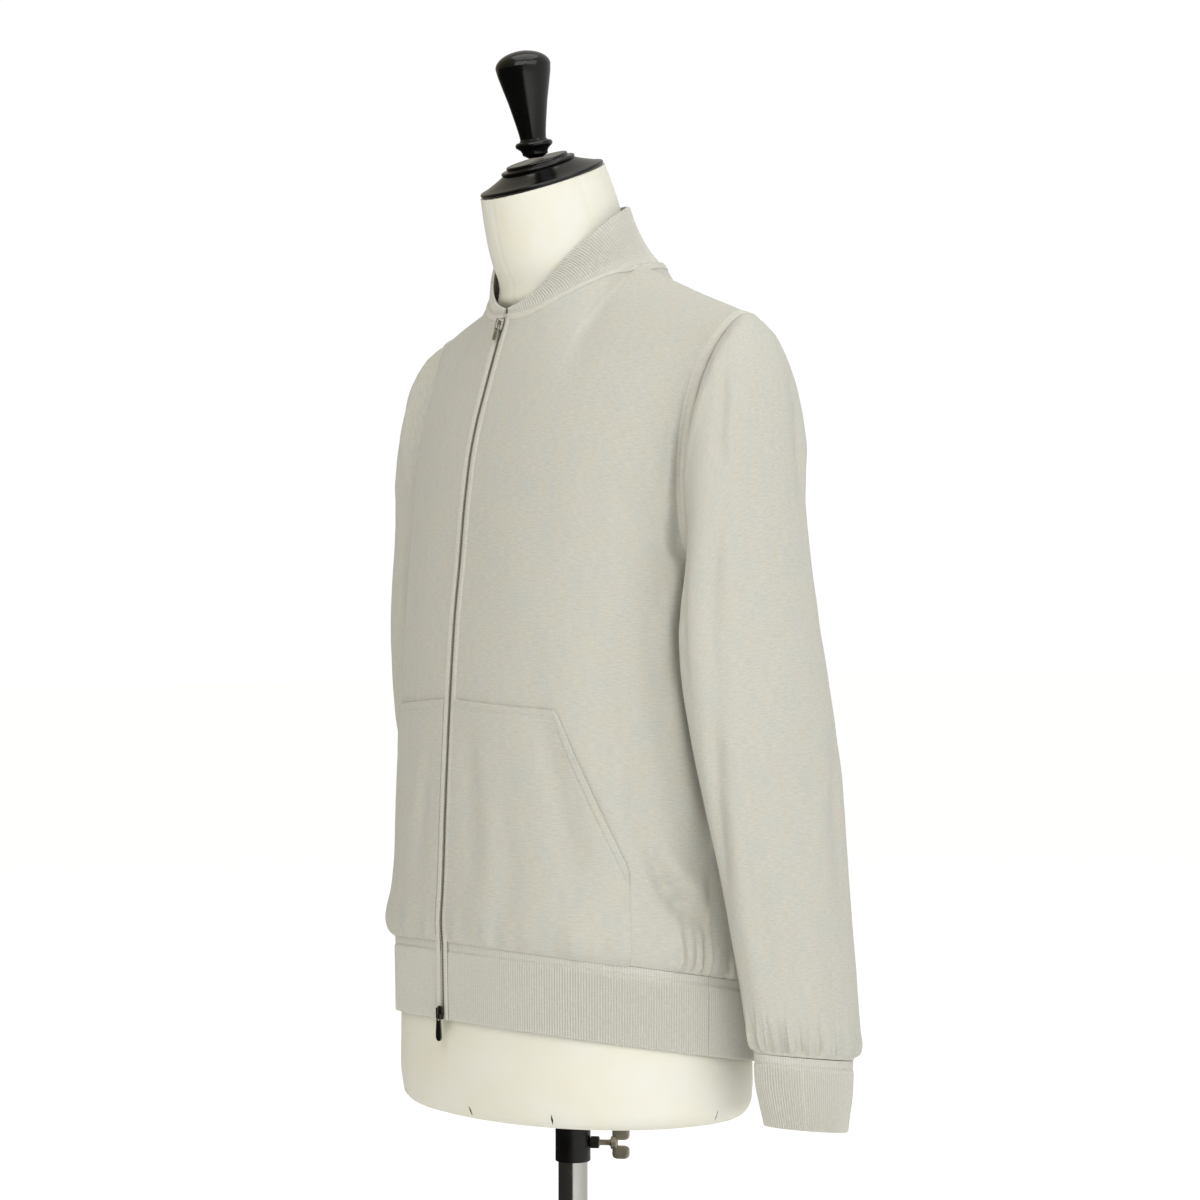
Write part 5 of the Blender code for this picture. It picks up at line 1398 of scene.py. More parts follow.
def pocket_grid(side):
    """The patch's columns from the placket to its outer end, cut off at its upper edge.

    The mouth, the slanted part of that edge, stands a little open. Gives the cloth's points,
    normals, distances to the edge, how far the mouth gapes, and uv.
    """
    front = body_panels()["front_" + side]
    start, end = POCKET_TOP["reach"][2:]
    reach = spaced(SEAM, end, 0.0022)
    shares = (PLACKET_WIDTH + reach) / front.size
    rises = row_places(front.top)
    rises = rises[rises < 0.30]
    cloth_points, way = front.laid(rises, shares), front.normals(rises, shares)
    top = np.interp(reach, POCKET_TOP["reach"], POCKET_TOP["height"])
    up = 1 - (1 - np.linspace(0, 1, 96) ** 1.15) ** 1.25
    grid, normals = [], []
    for j, line in enumerate(cloth_points.swapaxes(0, 1)):
        height = line[0, 2] + (top[j] - line[0, 2]) * up
        grid.append(read_at(height, line[:, 2], line))
        normals.append(read_at(height, line[:, 2], way[:, j]))
    grid, normals = np.stack(grid, axis=1), unit(np.stack(normals, axis=1))
    slope = np.abs(np.gradient(top, reach))[None, :]
    to_top = (top[None, :] - grid[..., 2]) / np.sqrt(1 + slope**2)
    to_end = (end - reach)[None, :] + 0 * to_top
    mouth = np.clip((reach - start) / (end - start), 0, 1)
    gape = 0.0014 * np.sin(math.pi * mouth)[None, :] * np.exp(-to_top / 0.012)
    uv = np.stack([np.broadcast_to(reach, to_top.shape), grid[..., 2]], axis=-1) * 1000
    return grid, normals, np.minimum(to_top, to_end), to_top, gape, uv


def make_pockets():
    """The patch pockets, with a folded mouth and stitched edges."""
    for side in ("left", "right"):
        grid, normals, to_edge, to_top, gape, uv = pocket_grid(side)
        fold = 0.0006 * step(0.0062, 0.0050, to_top)
        groove = 0.0003 * np.exp(-(((to_top - 0.0062) / 0.0007) ** 2))
        edge = np.sqrt(1 - (1 - np.clip(to_edge / 0.0010, 0, 1)) ** 2)
        lift = 0.0004 + (0.0010 + fold - groove) * edge + gape
        outer = grid + normals * lift[..., None]
        kept = np.ix_(every(len(grid), 5), every(grid.shape[1], 3))
        inner = (grid + normals * (0.0003 + gape)[..., None])[kept]
        cloth_for("pocket_" + side, side, outer, inner, uv, "jersey_knit", smooth_angle=60)
        for line in (np.s_[-8, 2:], np.s_[4:-9, -2]):
            keep_stitches("cloth", outer[line], normals[line], 0.0, side)


TOP_OF_TAPE = TAPE_LIFT + 0.0002 + TAPE_THICK
STITCHES = {"tape": [], "cloth": [], "rib": []}


def keep_stitches(kind, path, normals, lift, side="left"):
    """Keeps a line of stitches along a path on the cloth, to be made with the others."""
    if side == "right":
        path, normals = mirrored(path), mirrored(normals)
    pitch, run = sizes().stitch_pitch, run_of(path)
    at = np.arange(pitch / 2, run[-1] - pitch / 2, pitch)
    place, ahead = read_at(at, run, path), read_at(at + 0.0008, run, path)
    way = unit(read_at(at, run, normals))
    STITCHES[kind].append((place + way * lift, unit(ahead - place), way))


def spindles(name, middle, axes, finish):
    """Eight-faced spindles on the form, with a point at both ends of each of three half axes."""
    ends = [way for axis in axes for way in (axis, -axis)]
    points = (middle[:, None] + np.stack(ends, axis=1)).reshape(-1, 3) + FORM_FOOT
    faces = np.array([(0, 2, 4), (0, 4, 3), (0, 3, 5), (0, 5, 2),
                      (1, 4, 2), (1, 3, 4), (1, 5, 3), (1, 2, 5)])
    number = (faces[None] + 6 * np.arange(len(middle))[:, None, None]).reshape(-1, 3)
    add_piece(name, points, number.tolist(), finish, "form")


def make_stitches():
    """Every kept stitch: a spindle of eight faces, half sunk in the cloth."""
    pitch, lift, seam = sizes().stitch_pitch, 0.0002, np.array([HEM_BAND])
    base, normals = (g[0, 8:] for g in hem_base(True, seam, 161))
    back, back_normals = (both_halves(g)[0] for g in hem_base(False, seam, 161))
    ring, ring_normals = (g[0] for g in cuff_base(seam, 120))
    for path, way, side in (
        (base, normals, "left"), (base, normals, "right"), (back, back_normals, "left"),
        (ring, ring_normals, "left"), (ring, ring_normals, "right"),
    ):
        keep_stitches("rib", path, way, lift, side)
    for kind, kept in STITCHES.items():
        place, ahead, way = (np.concatenate([k[n] for k in kept]) for n in range(3))
        beside = np.cross(way, ahead)
        axes = (ahead * 0.42 * pitch, beside * STITCH_WIDE / 2, way * STITCH_WIDE * 0.45)
        spindles(f"stitches_on_{kind}", place, axes, "sewing_thread")


# -------- zip
def zip_line():
    """The middle of the zip's slot from the hem's fold to the neckline, and outward normals."""
    front = body_panels()["front_left"]
    low = hem_at_zip(np.linspace(RIB_HEIGHT - SEAM, 0.001, 22))
    high = front.base(spaced(0.002, front.top - 0.001, 0.004), np.array([0.0]))[:, 0]
    line = np.concatenate([low, high])
    line[:, 0] = 0.0
    tangent = unit(np.gradient(line, axis=0))
    return line, unit(np.cross(np.array([1.0, 0.0, 0.0]), tangent)), tangent


def make_zip():
    """The woven tape behind the slot, and two rows of teeth that mesh in its middle.

    A tooth is a block with a narrower head; each row's teeth are half a pitch from the
    other's.
    """
    line, out, tangent = zip_line()
    half = ZIP_HALF - SEAM
    share = np.linspace(-1, 1, 5)
    grid = line[:, None] + share[None, :, None] * half * np.array([1.0, 0, 0])
    inner = (grid - out[:, None] * 0.0009)[every(len(grid), 2)][:, ::2]
    uv = uv_grid(np.linspace(0, 0.6, len(grid)), share * half)
    tape = cloth("zip_tape_woven", grid - out[:, None] * 0.0002, inner, uv, "zip_tape")
    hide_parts("zip_chain")
    run = run_of(line)
    at = np.arange(0.004, run[-1] - 0.004, sizes().tooth_pitch / 2)
    place, way, up = (read_at(at, run, values)[:, None] for values in (line, out, tangent))
    number = np.arange(len(at))[:, None, None]
    across = np.array([1.0, 0.0, 0.0]) * np.where(number % 2 == 0, 1.0, -1.0)
    corner = np.array([[x, y, z] for x in (0, 1) for y in (0, 1) for z in (-1, 1)], float)
    head, outside = corner[:, 0] > 0, corner[:, 1] > 0
    x = np.where(head, 0.0009, -0.0003)[None, :, None]
    y = np.where(outside, 0.0007, -0.0004)[None, :, None]
    z = (corner[:, 2] * np.where(head, 0.00050, 0.00040))[None, :, None]
    points = (place + across * x + way * y + up * z).reshape(-1, 3) + FORM_FOOT
    block = np.array([(0, 1, 3, 2), (4, 6, 7, 5), (0, 4, 5, 1),
                      (2, 3, 7, 6), (0, 2, 6, 4), (1, 5, 7, 3)])
    faces = (block[None] + 8 * number[::2]).reshape(-1, 4).tolist()
    faces += (block[None, :, ::-1] + 8 * number[1::2]).reshape(-1, 4).tolist()
    teeth = add_piece("zip_teeth_rows", points, faces, "dark_nickel", "form", smooth_angle=20)
    # The lower slider and pull get the same nickel painted darker, a painted dark reflection.
    for end, finish in (("top", "bright_nickel"), ("bottom", "smoked_nickel")):
        for kind in ("slider", "pull"):
            refinish(f"zip_{kind}_{end}", finish)


def refinish(node, finish):
    """Gives a CAD node that stays its finish."""
    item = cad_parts[node]
    item.data.materials.clear()
    item.data.materials.append(finish_named(finish))
    item.data.set_sharp_from_angle(angle=math.radians(32))


# -------- dress form and stand
def form_rings():
    """Fine rings of the form by a cubic through its table, from its underside to the cap.

    The padding at the throat is a little fuller than the table's ovals.
    """
    knots = run_of(np.stack([FORM[k] for k in ("height", "half_width", "back")], axis=1))
    at = np.concatenate([np.linspace(0, knots[4], 26), spaced(knots[4], knots[-1], 0.005)])
    height, wide, front, back, lean = (
        smooth(np.unique(at), knots, FORM[k])[:, None]
        for k in ("height", "half_width", "front", "back", "lean")
    )
    turn = np.linspace(0, 2 * math.pi, 145)[None, :-1]
    square = 1 - 0.06 * step(0.08, 0.12, wide)    # the chest is squarer than the neck
    sine, cosine = np.sin(turn), np.cos(turn)
    x = wide * np.sign(sine) * np.abs(sine) ** square
    middle, depth = (front + back) / 2, (back - front) / 2
    y = middle - depth * np.sign(cosine) * np.abs(cosine) ** square
    z = height + np.tan(np.radians(lean)) * (y - middle)
    ahead = np.where(cosine > 0, cosine, 0) ** 3
    y = y - 0.0085 * ahead * np.exp(-(((height - 0.683) / 0.016) ** 2))
    return np.stack([x, y, z + 0 * x], axis=-1), turn


def make_form():
    """The canvas-covered torso, closed underneath round the pole, with sewn seams.

    Seams are grooves 0.6 mm deep down the neck's front, back and sides.
    """
    rings, turn = form_rings()
    normals = normals_of(rings, ring=True)
    eighths = turn / (2 * math.pi) * 8
    girth = np.abs((eighths + 0.5) % 1 - 0.5) / 8 * 2 * math.pi * 0.14
    is_seam = np.round(eighths).astype(int) % 2 == 0
    relief = -0.0006 * np.exp(-((girth / 0.0011) ** 2)) * is_seam
    rings = rings + normals * relief[..., None] * step(0.60, 0.64, rings[..., 2:])
    hole = np.stack(
        [np.sin(turn[0]) * BORE_RADIUS, -np.cos(turn[0]) * BORE_RADIUS, 0 * turn[0]], axis=-1
    )
    rims = []
    for height, share in ((BORE_DEPTH, 0.0), (0.0, 0.0), (0.0, 0.35), (0.0, 0.75)):
        rims.append(hole * (1 - share) + rings[0] * share)
        rims[-1][:, 2] = height
    grid = np.concatenate([np.array(rims), rings])
    rows, count = grid.shape[:2]
    ids = np.arange(rows * count).reshape(rows, count)
    uv = uv_grid(run_of(grid[:, 30]), np.linspace(0, FORM_GIRTH, count + 1)).reshape(-1, 2)
    corner_ids = np.arange(rows * (count + 1)).reshape(rows, count + 1)
    vertex_of = np.concatenate([ids, ids[:, :1]], axis=1).ravel()
    corners = [*quads_of(corner_ids), corner_ids[-1, :-1], corner_ids[0, :-1][::-1]]
    faces = [tuple(vertex_of[f].tolist()) for f in corners]
    points = grid.reshape(-1, 3) + FORM_FOOT
    item = add_piece("form_canvas", points, faces, "linen_canvas", "form", corners, uv)
    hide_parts("form_torso")


def make_tacks():
    """Short dark bar tacks on the form's lower edge, where the canvas is turned under."""
    rings, _ = form_rings()
    normals = normals_of(rings, ring=True)
    kept = []
    for degrees in (6.5, 38, 97.5, 142, 186, 218, 262, 322):
        j = round(degrees / 360 * rings.shape[1]) % rings.shape[1]
        low, high = (np.argmin(np.abs(rings[:, j, 2] - h)) for h in TACK_HEIGHTS)
        kept.append((rings[low, j], rings[high, j], normals[(low + high) // 2, j]))
    low, high, way = (np.array([k[n] for k in kept]) for n in range(3))
    up = unit(high - low)
    half = np.linalg.norm(high - low, axis=1) / 2
    axes = (up * half[:, None], np.cross(way, up) * 0.0009, way * 0.0003)
    spindles("form_tacks", (low + high) / 2 + way * 0.0006, axes, "black_enamel")


def round_faces(rows, sides, is_ring=False):
    """Faces of a round grid, whose rows go down it; it ends in two single points."""
    ids = np.arange(rows * sides).reshape(rows, sides)
    ids = np.concatenate([ids, ids[:, :1]], axis=1)
    if is_ring:
        return quads_of(np.concatenate([ids, ids[:1]], axis=0))[:, ::-1].tolist()
    faces = quads_of(ids)[:, ::-1].tolist()
    for k in range(sides):
        faces.append([rows * sides, ids[0, k], ids[0, k + 1]])
        faces.append([rows * sides + 1, ids[-1, k + 1], ids[-1, k]])
    return faces


def placed(points, place):
    """The points, set in the frame by a matrix."""
    matrix = np.array(place)
    return points @ matrix[:3, :3].T + matrix[:3, 3]


def turned_piece(name, profile, sides, place, finish, body, node):
    """A turned piece: its profile (radius, height), from the top down its outer side.

    A profile that starts and ends on the axis closes with single points there; one that
    ends where it starts closes as a ring. The place is a matrix that sets it in the frame.
    """
    profile = np.array(profile, float)
    is_ring = np.allclose(profile[0], profile[-1])
    rows = profile[:-1] if is_ring else profile[1:-1]
    turn = np.linspace(0, 2 * math.pi, sides, endpoint=False)
    height = np.broadcast_to(rows[:, 1:], (len(rows), sides))
    grid = [rows[:, :1] * np.cos(turn), rows[:, :1] * np.sin(turn), height]
    points = np.stack(grid, axis=-1).reshape(-1, 3)
    if not is_ring:
        points = np.concatenate([points, [[0, 0, profile[0][1]], [0, 0, profile[-1][1]]]])
    faces = round_faces(len(rows), sides, is_ring)
    item = add_piece(name, placed(points, place), faces, finish, body, smooth_angle=32)
    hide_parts(node)


def make_cap_and_knob():
    """The lacquered neck cap with its two steps, and the tapered knob on it."""
    lean = math.radians(CAP_LEAN)
    up = Vector((0, -math.sin(lean), math.cos(lean)))
    foot = Vector((0, (FORM["front"][-1] + FORM["back"][-1]) / 2, FORM["height"][-1] + FORM_Z))
    foot += up * SEAM
    cap = [(0, CAP_HEIGHT), (0.0254, CAP_HEIGHT), *arc(0.0254, 0.0176, 0.0014, 90, 0)]
    cap += [(0.0268, 0.0162), (0.0272, 0.0158), (0.0306, 0.0156)]
    cap += arc(0.0306, 0.0140, 0.0016, 90, -60)
    cap += [(0.0350, 0.0106), (0.0400, 0.0083), (0.0460, 0.0058), (0.0505, 0.0042)]
    cap += [*arc(0.0522, 0.0020, 0.0018, 80, -70), (0.0522, 0), (0, 0)]
    place = Matrix.Translation(foot) @ Matrix.Rotation(lean, 4, "X")
    turned_piece("neck_cap_lacquered", cap, 96, place, "black_lacquer", "form",
                 "neck_cap")
    dome = np.radians(np.linspace(74, 0, 12))
    knob = [(0, 0.0902), (0.004, 0.0901)]
    knob += [(0.0234 * math.cos(a), 0.0770 + 0.0132 * math.sin(a)) for a in dome]
    knob += [(0.0224, 0.0705), (0.0196, 0.0590), (0.0166, 0.0470), (0.0146, 0.0370)]
    knob += [(0.0128, 0.0280), (0.0115, 0.0205), (0.0110, 0.0160)]
    knob += arc(0.0132, 0.0113, 0.0027, 110, -70)
    knob += [(0.0120, 0.0070), (0.0110, 0.0052), (0.0108, 0.0030), (KNOB_FOOT, 0), (0, 0)]
    place = Matrix.Translation(foot + up * (CAP_HEIGHT + KNOB_SEAT))
    place = place @ Matrix.Rotation(math.radians(KNOB_LEAN), 4, "X")
    turned_piece("neck_knob_lacquered", knob, 72, place, "black_lacquer", "form",
                 "neck_knob")


def arc(radius, height, size, start, end):
    """A quarter round of a turned profile, from one angle down to another."""
    angles = np.radians(np.linspace(start, end, 7))
    return [(radius + size * math.cos(a), height + size * math.sin(a)) for a in angles]


def make_clamp():
    """The enamelled clamp collar and boss under the form."""
    top, low = FORM_Z - SEAM, FORM_Z - SEAM - CLAMP_LENGTH
    inner, outer = BORE_RADIUS, CLAMP_RADIUS
    tube = [(inner, top), *arc(outer - 0.0015, top - 0.0015, 0.0015, 90, 0)]
    tube += [(outer, top - 0.006), (outer - 0.0004, top - 0.0066), (outer, top - 0.0072)]
    tube += [*arc(outer - 0.0015, low + 0.0015, 0.0015, 0, -90), (inner, low), (inner, top)]
    turned_piece("clamp_collar_enamel", tube, 72, Matrix(), "black_enamel", "clamp",
                 "clamp_collar")
    boss = [(0.0030, 0.0075), *arc(0.0045, 0.0068, 0.0007, 90, 0)]
    boss += [(0.0052, 0.0006), (0.0030, 0.0006), (0.0030, 0.0075)]
    turned_piece("clamp_boss_enamel", boss, 40, screw_place(), "black_enamel", "clamp",
                 "clamp_boss")


def screw_place():
    """Where the wing screw's axis starts, on the clamp's face, and how it points."""
    turn = math.radians(SCREW_TURN)
    way = Vector((math.cos(turn), math.sin(turn), 0)) * CLAMP_RADIUS
    place = Matrix.Translation(way + Vector((0, 0, FORM_Z - SCREW_DROP)))
    return place @ Matrix.Rotation(turn, 4, "Z") @ Matrix.Rotation(math.radians(90), 4, "Y")


def rounded_block(half, centre, powers, place):
    """A closed block whose outline and thickness are superellipses, as a grid with poles.

    A point is the half size times the signed powers of sine and cosine of two angles.
    """
    rows, sides = 15, 40
    v = np.linspace(-math.pi / 2, math.pi / 2, rows + 2)[1:-1, None]
    u = np.linspace(0, 2 * math.pi, sides, endpoint=False)[None]

    def power(value, exponent):
        return np.sign(value) * np.abs(value) ** exponent

    x = power(np.cos(v), powers[0]) * power(np.cos(u), powers[1])
    z = power(np.cos(v), powers[0]) * power(np.sin(u), powers[1])
    points = np.stack([x, power(np.sin(v), powers[0]) + 0 * u, z], axis=-1).reshape(-1, 3)
    points = np.concatenate([points, [[0, -1, 0], [0, 1, 0]]]) * half + centre
    return placed(points, place), round_faces(rows, sides)


def make_wing_screw():
    """The nickel wing screw: a stem with a flange, and two rounded wings."""
    stem = [(0, 0.0232), (0.0046, 0.0232), *arc(0.0046, 0.0222, 0.0010, 80, 0)]
    stem += [*arc(0.0046, 0.0186, 0.0010, 0, -80), (0.0034, 0.0174), (0.0027, 0.0168)]
    for turn in np.arange(0.0160, 0.0085, -0.0010):
        stem += [(0.0027, turn), (0.0023, turn - 0.0005)]
    stem += [(0.0027, 0.0080), (0.0027, 0.0012), (0.0023, 0.0010), (0, 0.0010)]
    place = screw_place()
    turned_piece("wing_screw_stem", stem, 40, place, "worn_nickel", "screw",
                 "wing_screw")
    for side, name in ((-1, "wing_low"), (1, "wing_high")):
        centre = np.array([side * WING_PLACE[0], 0.0, WING_PLACE[2]])
        points, faces = rounded_block(np.array(WING) / 2, centre, (0.45, 0.6), place)
        wing = add_piece("wing_screw_" + name, points, faces, "worn_nickel", "screw")


def make_stand():
    """The chromed pole and the enamelled base."""
    top, thick, hub = FORM_Z + POLE_IN_FORM, BASE_THICK, BASE_THICK + HUB_HEIGHT
    radius, rim = POLE_RADIUS, BASE_RADIUS
    pole = [(0, top), (radius - 0.001, top), (radius, top - 0.001)]
    pole += [(radius, z) for z in np.linspace(top - 0.01, hub + 0.01, 12)]
    pole += [(radius, hub + SEAM), (0, hub + SEAM)]
    turned_piece("pole_chromed", pole, 96, Matrix(), "chrome_plate", "stand",
                 "pole_tube")
    base = [(0, hub), (0.0165, hub), *arc(0.0168, hub - 0.0017, 0.0017, 90, 0)]
    base += [(0.0192, thick + 0.0105), (0.0202, thick + 0.0060), (0.0222, thick + 0.0036)]
    base += [(0.0260, thick + 0.0022), (0.060, thick + 0.0018), (0.110, thick + 0.0010)]
    base += [(rim - 0.008, thick), *arc(rim - 0.0055, thick - 0.0055, 0.0055, 85, 0)]
    base += [(rim, 0.001), (rim - 0.001, 0), (0, 0)]
    turned_piece("base_enamelled", base, 144, Matrix(), "black_enamel", "stand",
                 "pole_base")


def make_floor(beside):
    """The pale paper floor, as a wide grid just under the base.

    In mirror rays its left half is dark, which gives the chromed pole its dark side.
    """
    line = np.linspace(-FLOOR_SIZE / 2, FLOOR_SIZE / 2, 8)
    x, y = np.meshgrid(line, line)
    points = np.stack([x, y, np.full_like(x, -0.0004)], axis=-1)
    mesh = bpy.data.meshes.new("studio_floor")
    faces = quads_of(np.arange(x.size).reshape(x.shape)).tolist()
    mesh.from_pydata(points.reshape(-1, 3).tolist(), [], faces)
    paper, tree, shader = new_material("paper_floor", Roughness=0.95, Specular_IOR_Level=0.1)
    place = add(tree, "TexCoord", out="Object")
    reach = add(tree, "VectorMath", [place, beside], "Value", operation="DOT_PRODUCT")
    lit = add(tree, "MapRange", [reach, -0.25, 0.20, 0.0, 1.0])
    plain = add(tree, "MapRange", [add(tree, "LightPath", out="Is Glossy Ray"), 0, 1, 1, 0])
    shown = add(tree, "Math", [plain, lit], operation="MAXIMUM")
    tone = toned(tree, linear("#2a2825"), (WHITE, shown, 0.0, 1.0, 0.0, 1.0))
    glow = add(tree, "MapRange", [shown, 0.0, 1.0, 0.02, 0.20])
    seen = add(tree, "MapRange", [add(tree, "LightPath", out="Is Camera Ray"), 0, 1, 0, 0.40])
    light = add(tree, "Math", [glow, seen])
    feed(tree, shader, {"Base Color": tone, "Emission Color": WHITE, "Emission Strength": light})
    mesh.materials.append(paper)
    linked("studio_floor", mesh)


def make_room(right):
    """A white room, dimmer and warmer to the left, behind a plain white backdrop."""
    stage = bpy.context.scene.jacket_stage
    world = bpy.data.worlds.new("studio")
    bpy.context.scene.world = world
    world.use_nodes = True
    tree = world.node_tree
    tree.nodes.clear()
    ahead = add(tree, "TexCoord", out="Generated")
    side = add(tree, "VectorMath", [ahead, right], "Value", operation="DOT_PRODUCT")
    dim, bright = 0.42 * stage.room_light, 1.26 * stage.room_light
    power = add(tree, "MapRange", [side, -1.0, 1.0, dim, bright])
    tint = toned(tree, linear("#fff3cf"), (linear("#fffefb"), side, -0.6, 0.4, 0.0, 1.0))
    room = add(tree, "Background", [tint, power])
    paper = add(tree, "Background", [WHITE, stage.backdrop])
    is_seen = add(tree, "LightPath", out="Is Camera Ray")
    mix = add(tree, "MixShader", [is_seen, room, paper])
    tree.links.new(mix, tree.nodes.new("ShaderNodeOutputWorld").inputs["Surface"])


# -------- stage
def make_stage():
    """A pale floor, soft studio light from the right and all round, and the camera."""
    scene = bpy.context.scene
    toward = math.radians(CAMERA_TURN)
    beside = Vector((math.cos(toward), math.sin(toward), 0))
    make_floor(beside)
    make_room((*beside[:2], 0.25))
    for name, turn, lift, away, wide, power in LIGHTS:
        light = bpy.data.lights.new(name, "AREA")
        light.shape, light.size = "SQUARE", wide
        light.energy = power * scene.jacket_stage.light_power
        item = linked(name, light)
        angle, lift = toward + math.radians(turn), math.radians(lift)
        level = math.cos(lift) * away
        at = Vector((math.sin(angle) * level, -math.cos(angle) * level, math.sin(lift) * away))
        item.location = at + Vector((0, 0, 0.9))
        item.rotation_euler = (-at).to_track_quat("-Z", "Y").to_euler()
    camera = linked("camera", bpy.data.cameras.new("camera"))
    camera.data.sensor_width = 36.0
    camera.data.lens = 36.0 * CAMERA_DISTANCE / (PHOTO_SIZE / PIXELS_A_METRE)
    out = Vector((math.sin(toward), -math.cos(toward), 0))
    middle = (PHOTO_SIZE / 2 - POLE_PIXEL) / PIXELS_A_METRE
    camera.location = out * CAMERA_DISTANCE + beside * middle + Vector((0, 0, CAMERA_HEIGHT))
    camera.rotation_euler = (math.radians(90), 0, toward)
    camera.data.clip_end = 100
    scene.camera = camera
    scene.view_settings.view_transform = "Standard"
    scene.view_settings.look = "None"


WHITE = (1.0, 1.0, 1.0, 1.0)
FLOOR_SIZE = 60.0
PHOTO_SIZE = 1200
PIXELS_A_METRE = 1175.0    # at the pole's distance
POLE_PIXEL = 573
CAMERA_TURN, CAMERA_DISTANCE, CAMERA_HEIGHT = 53.0, 3.0, 0.890
# Name, degrees to the right of the camera, lift in degrees, distance, size, watts.
LIGHTS = (
    ("key_right", 34, 30, 3.2, 2.4, 30.0),
    ("front_soft", -14, 32, 3.6, 2.6, 45.0),
    ("overhead", 0, 88, 3.0, 2.6, 27.0),
)


# -------- the add-on
def metres(label, about, value, low, high):
    """A size property in metres."""
    return bpy.props.FloatProperty(
        name=label, description=about, default=value, min=low, max=high,
        subtype="DISTANCE", unit="LENGTH", precision=4,
    )


def factor(label, about, value, high):
    """A plain number from 0 up, for the stage."""
    return bpy.props.FloatProperty(name=label, description=about, default=value, min=0, max=high)


class JacketSizes(bpy.types.PropertyGroup):
    rib_pitch: metres("Rib pitch", "Crest to crest in the ribbed trims", 0.00225, 0.001, 0.006)
    rib_rise: metres("Rib rise", "How far a rib stands out", 0.0010, 0.0, 0.0012)
    stitch_pitch: metres("Stitch pitch", "Length of one stitch and its gap", 0.0026, 0.001, 0.006)
    tooth_pitch: metres("Tooth pitch", "Zip tooth to tooth on one side", 0.0026, 0.001, 0.006)


class JacketColours(bpy.types.PropertyGroup):
    knit: hex_colour("Knit", "Stone knit of the body and sleeves", "#cbcac0")
    knit_cool: hex_colour("Cool fleck", "Cooler fleck in the knit", "#c3c6c2")
    knit_warm: hex_colour("Warm fleck", "Warmer cloud in the knit", "#cec9ba")
    rib: hex_colour("Rib", "Ribbed hem, cuffs and collar", "#d5d4cb")
    tape: hex_colour("Tape", "Tapes and plackets", "#d8d6cc")
    thread: hex_colour("Thread", "Sewing thread", "#dad8ce")
    zip_tape: hex_colour("Zip tape", "Woven tape behind the teeth", "#c9c7bd")
    teeth: hex_colour("Teeth", "Oxidised zip teeth", "#8f8b82")
    canvas: hex_colour("Canvas", "Dress form's cover", "#e8e7dd")
    lacquer: hex_colour("Lacquer", "Cap, knob, clamp and base", "#060606")
    chrome: hex_colour("Chrome", "Pole", "#b4b4b0")
    nickel: hex_colour("Nickel", "Upper slider and its pull", "#c2c1bc")
    # Nickel of the wing screw, darker and yellower than the upper slider's.
    worn: hex_colour("Worn nickel", "Wing screw", "#a8a294")
    # The upper slider's nickel painted darker: a painted dark reflection on the lower slider and
    # pull.
    smoked: hex_colour("Smoked nickel", "Lower slider and its pull", "#6d6b67")


class JacketStage(bpy.types.PropertyGroup):
    room_light: factor("Room light", "Light from the white room", 0.48, 4.0)
    backdrop: factor("Backdrop", "Brightness of the backdrop", 1.02, 4.0)
    light_power: factor("Studio lights", "Scales the studio lights", 1.0, 9.0)


class JACKET_OT_body(bpy.types.Operator):
    """Make the two fronts and the back."""

    bl_idname = "jacket.body"
    bl_label = "Body panels"

    def execute(self, context):
        for name, panel_ in body_panels().items():
            panel_cloth(name, panel_)
        return {"FINISHED"}


class JACKET_OT_sleeves(bpy.types.Operator):
    """Make both sleeves."""

    bl_idname = "jacket.sleeves"
    bl_label = "Sleeves"

    def execute(self, context):
        make_sleeve("left", LEFT_SLEEVE_CREASES)
        make_sleeve("right", RIGHT_SLEEVE_CREASES)
        return {"FINISHED"}


class JACKET_OT_ribs(bpy.types.Operator):
    """Make the ribbed hem, cuffs and collar."""

    bl_idname = "jacket.ribs"
    bl_label = "Ribbed trims"

    def execute(self, context):
        make_hem()
        make_cuff("left")
        make_cuff("right")
        make_collar()
        return {"FINISHED"}


class JACKET_OT_tapes(bpy.types.Operator):
    """Make the neck band, the armhole bands and the plackets."""

    bl_idname = "jacket.tapes"
    bl_label = "Tapes and plackets"

    def execute(self, context):
        make_neck_band()
        make_arm_bands()
        make_plackets()
        return {"FINISHED"}


class JACKET_OT_pockets(bpy.types.Operator):
    """Make the patch pockets."""

    bl_idname = "jacket.pockets"
    bl_label = "Pockets"

    def execute(self, context):
        make_pockets()
        return {"FINISHED"}


class JACKET_OT_stitches(bpy.types.Operator):
    """Sew the tapes, ribs and pockets. The pieces that carry the stitches come first."""

    bl_idname = "jacket.stitches"
    bl_label = "Stitches"

    def execute(self, context):
        make_stitches()
        return {"FINISHED"}


class JACKET_OT_zip(bpy.types.Operator):
    """Make the zip's tape and teeth, and finish its sliders and pulls."""

    bl_idname = "jacket.zip"
    bl_label = "Zip"

    def execute(self, context):
        make_zip()
        return {"FINISHED"}


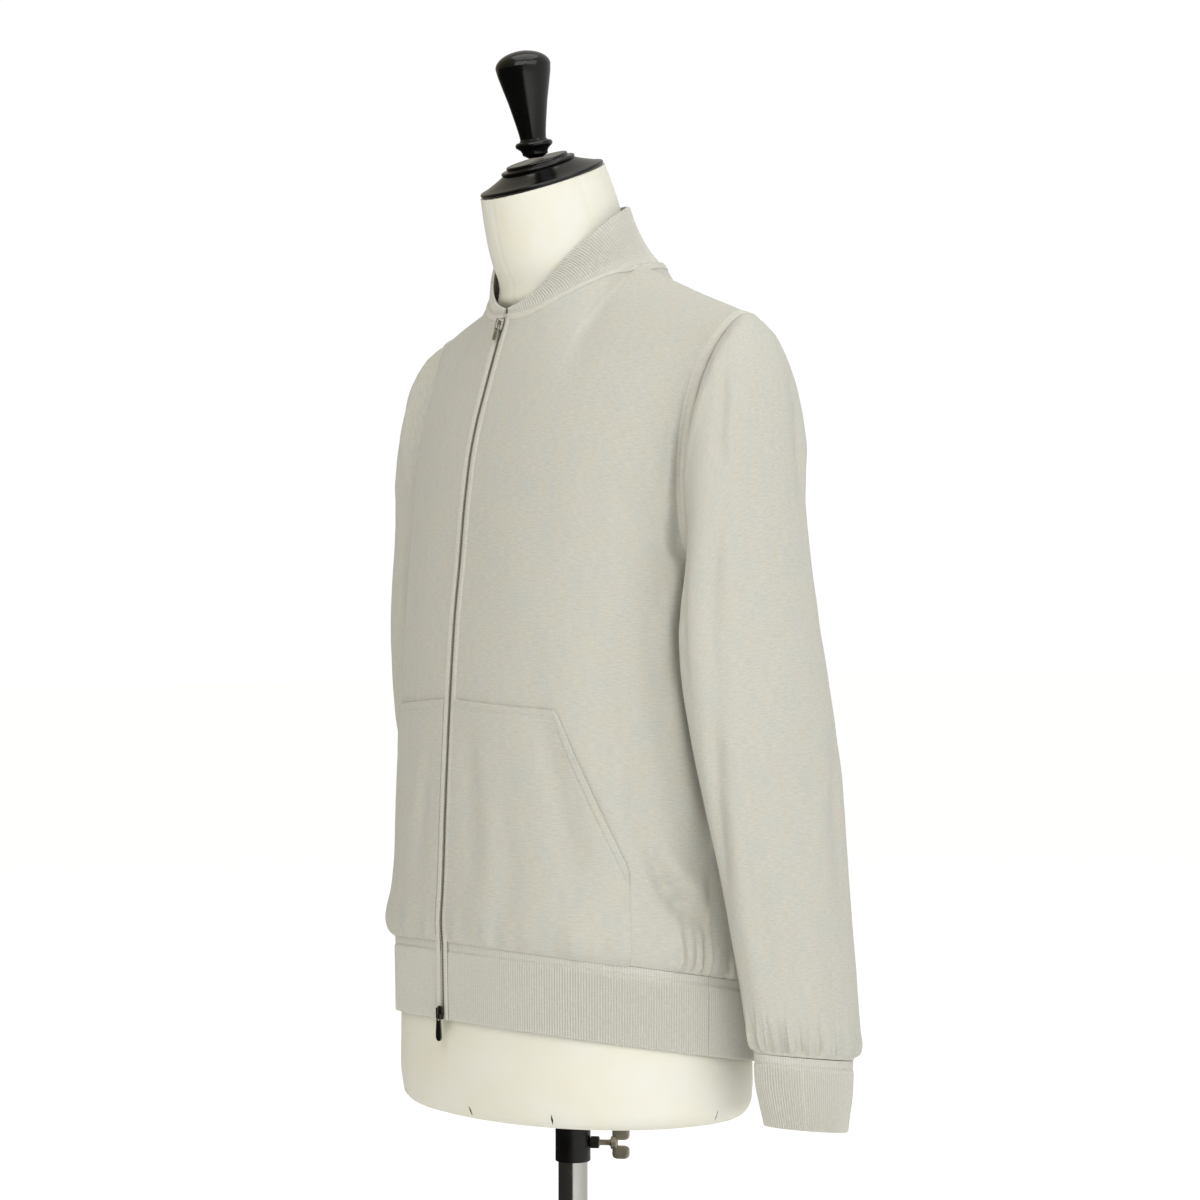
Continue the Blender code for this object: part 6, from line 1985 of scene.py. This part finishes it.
class JACKET_OT_form(bpy.types.Operator):
    """Make the canvas form with its tacks, neck cap and knob."""

    bl_idname = "jacket.form"
    bl_label = "Dress form"

    def execute(self, context):
        make_form()
        make_tacks()
        make_cap_and_knob()
        return {"FINISHED"}


class JACKET_OT_stand(bpy.types.Operator):
    """Make the clamp, its wing screw, the pole and the base."""

    bl_idname = "jacket.stand"
    bl_label = "Stand"

    def execute(self, context):
        make_clamp()
        make_wing_screw()
        make_stand()
        return {"FINISHED"}


class JACKET_OT_stage(bpy.types.Operator):
    """Make the floor, the lights and the camera."""

    bl_idname = "jacket.stage"
    bl_label = "Stage"

    def execute(self, context):
        make_stage()
        return {"FINISHED"}


class JACKET_PT_panel(bpy.types.Panel):
    """Lists the jacket's pieces, sizes and colours."""

    bl_idname = "JACKET_PT_panel"
    bl_label = "Knit bomber jacket"
    bl_space_type = "VIEW_3D"
    bl_region_type = "UI"
    bl_category = "Jacket"

    def draw(self, context):
        for group in (context.scene.jacket_sizes, context.scene.jacket_colours,
                      context.scene.jacket_stage):
            box = self.layout.box()
            for key in group.__annotations__:
                box.prop(group, key)
        for operator in OPERATORS:
            self.layout.operator(operator.bl_idname)


OPERATORS = (
    JACKET_OT_stage, JACKET_OT_body, JACKET_OT_sleeves, JACKET_OT_ribs, JACKET_OT_tapes,
    JACKET_OT_pockets, JACKET_OT_stitches, JACKET_OT_zip, JACKET_OT_form, JACKET_OT_stand,
)
GROUPS = {
    "jacket_sizes": JacketSizes, "jacket_colours": JacketColours, "jacket_stage": JacketStage,
}


def register():
    for group in GROUPS.values():
        bpy.utils.register_class(group)
    for key, group in GROUPS.items():
        setattr(bpy.types.Scene, key, bpy.props.PointerProperty(type=group))
    for kind in (*OPERATORS, JACKET_PT_panel):
        bpy.utils.register_class(kind)


def unregister():
    for kind in (JACKET_PT_panel, *OPERATORS[::-1], *GROUPS.values()):
        bpy.utils.unregister_class(kind)
    for key in GROUPS:
        delattr(bpy.types.Scene, key)


def main():
    """Registers the add-on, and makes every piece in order."""
    register()
    for kind in OPERATORS:
        getattr(bpy.ops.jacket, kind.bl_idname.split(".")[1])()
    bpy.context.view_layer.update()


if __name__ == "__main__":
    main()
